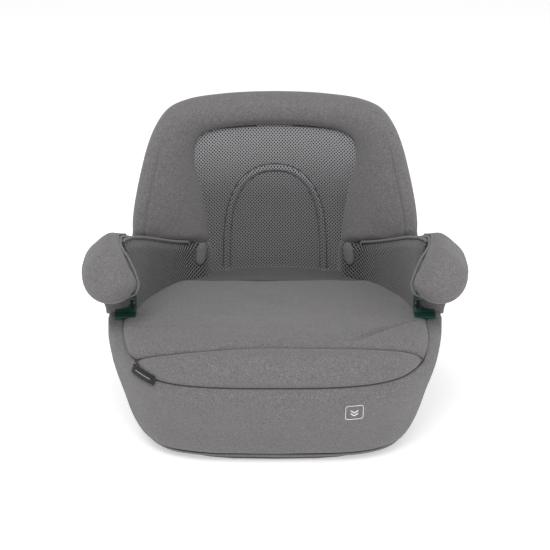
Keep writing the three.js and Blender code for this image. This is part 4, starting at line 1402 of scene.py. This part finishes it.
# ---------------------------------------------------------------- camera, light and floor
IMAGE_PX, FOCAL_PX, SHIFT_PX = 550, 1870, 10
SENSOR_MM = 36
CAMERA_ELEVATION, CAMERA_DISTANCE = math.radians(20), 2.3
CAMERA_AIM = Vector((0, -0.012, 0.170))
LAMP_AIM = Vector((0, 0, 0.18))
LAMPS = [
    # name, place, size, watts
    ("key", (-0.35, -1.9, 2.6), (1.6, 1.3), 66),
    ("fill", (1.7, -1.9, 1.5), (1.6, 1.4), 13),
    ("top", (0.0, 0.3, 2.4), (2.6, 2.0), 3),
    ("rim_left", (-2.0, 1.2, 1.0), (1.2, 1.6), 5),
    ("rim_right", (2.0, 1.2, 1.0), (1.2, 1.6), 5),
]
WHITE = (1, 1, 1, 1)
SKY_STRENGTH = 0.46
FLOOR_TONE, FLOOR_GLOW, FLOOR_REACH = (0.78, 0.78, 0.785, 1), 0.5, 40


def studio():
    """A plain pale floor, soft lamps, and the camera at the photograph's angle."""
    camera = bpy.data.objects.new("camera", bpy.data.cameras.new("camera"))
    SCENE.collection.objects.link(camera)
    back = Vector((0, -math.cos(CAMERA_ELEVATION), math.sin(CAMERA_ELEVATION)))
    camera.location = CAMERA_AIM + back * CAMERA_DISTANCE
    camera.rotation_euler = (-back).to_track_quat("-Z", "Y").to_euler()
    camera.data.lens = FOCAL_PX * SENSOR_MM / IMAGE_PX
    camera.data.sensor_width = SENSOR_MM
    camera.data.shift_y = SHIFT_PX / IMAGE_PX
    camera.data.clip_end = 100
    SCENE.camera = camera

    world = bpy.data.worlds.new("studio")
    world.use_nodes = True
    sky = world.node_tree.nodes["Background"]
    sky.inputs[0].default_value = WHITE
    sky.inputs[1].default_value = SKY_STRENGTH
    SCENE.world = world

    for name, where, size, watts in LAMPS:
        lamp = bpy.data.lights.new(name, "AREA")
        lamp.shape = "RECTANGLE"
        lamp.size, lamp.size_y = size
        lamp.energy = watts
        obj = bpy.data.objects.new(name, lamp)
        SCENE.collection.objects.link(obj)
        obj.location = where
        obj.rotation_euler = (LAMP_AIM - Vector(where)).to_track_quat("-Z", "Y").to_euler()

    mesh = bpy.data.meshes.new("floor")
    r = FLOOR_REACH
    mesh.from_pydata([(-r, -r, 0), (r, -r, 0), (r, r, 0), (-r, r, 0)], [], [(0, 1, 2, 3)])
    floor = bpy.data.objects.new("floor", mesh)
    SCENE.collection.objects.link(floor)
    mat, tree, shader = material("pale_floor")
    wire(tree, shader, {"Base Color": FLOOR_TONE, "Roughness": 0.35, "Specular IOR Level": 0.3})
    wire(tree, shader, {"Emission Color": WHITE, "Emission Strength": FLOOR_GLOW})
    mesh.materials.append(mat)
    SCENE.view_settings.view_transform = "Standard"


# ---------------------------------------------------------------- putting it together
def fabric_piece(obj, nodes=()):
    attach(obj, "base")
    if nodes:
        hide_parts(*nodes)
    return obj


studio()

skirt = build_skirt()
fabric_piece(skirt, ["cover_skirt"])

# Dark tubes of painted shadow in the seams and along the hem.
for threads in build_seam_shadows():
    fabric_piece(threads)
roll = build_roll()
cushion = build_cushion()
fabric_piece(roll, ["thigh_roll"])
fabric_piece(cushion, ["seat_cushion", "seat_foam"])

back_pad = build_back_pad()
fabric_piece(back_pad, ["back_pad", "back_foam"])
net_panel, net_backing, arch_seams = build_mesh_panel()
fabric_piece(arch_seams)
fabric_piece(net_panel, ["back_mesh_panel"])
fabric_piece(net_backing)
gusset = build_gusset()
fabric_piece(gusset, ["back_gusset"])
shell = build_back_shell()
fabric_piece(shell, ["back_shell"])

for side, sign in SIDES:
    cover = build_armrest(side, sign)
    fabric_piece(cover, [f"armrest_cover_{side}"])
    face, backing = build_side_mesh(side, sign)
    fabric_piece(face, [f"side_mesh_{side}"])
    fabric_piece(backing)
    tab = build_tab(side, sign)
    fabric_piece(tab)
    lower = tube("lower", mirrored(spline(CAP_PIPE + lip_line(1.0), 200), sign), 1.6, PIPING, 8)
    upper = tube("upper", mirrored(spline([(171, -111, 239)] + lip_line(4.4), 170), sign), 1.4, PIPING, 8)
    pipe = joined(f"armrest_piping_{side}", [lower, upper])
    y = np.linspace(-84, 112, 60)
    edge = np.stack([np.interp(y, WALL_PATH[:, 1], WALL_PATH[:, 0]) + 4.7, y, wall_top(y) + 0.6], -1)
    binding = tube(f"side_mesh_binding_{side}", mirrored(edge, sign), 2.0, BINDING, 8)
    fabric_piece(binding)
    fabric_piece(pipe)

label, dashes = build_label()
fabric_piece(label, ["woven_label"])
fabric_piece(dashes)
patch = build_patch()
fabric_piece(patch, ["printed_patch"])

BY_NAME = [
    ("belt_guide", GREEN_PLASTIC), ("foot_", RUBBER), ("release_button", RED_PLASTIC),
    ("adjuster_handle", RED_PLASTIC), ("base_tray", BLACK_PLASTIC), ("seat_shell", BLACK_PLASTIC),
    ("armrest_core", BLACK_PLASTIC), ("connector_housing", BLACK_PLASTIC), ("", STEEL),
]
for name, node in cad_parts.items():
    if node.hide_render:
        continue
    mat = next(m for key, m in BY_NAME if name.startswith(key))
    if node.data.materials:
        for i in range(len(node.data.materials)):
            node.data.materials[i] = mat
    else:
        node.data.materials.append(mat)
    weld = node.modifiers.new("weld", "WELD")
    weld.merge_threshold = 1e-5
    bevel = node.modifiers.new("bevel", "BEVEL")
    bevel.width, bevel.segments, bevel.limit_method, bevel.angle_limit = 0.0006, 2, "ANGLE", math.radians(35)
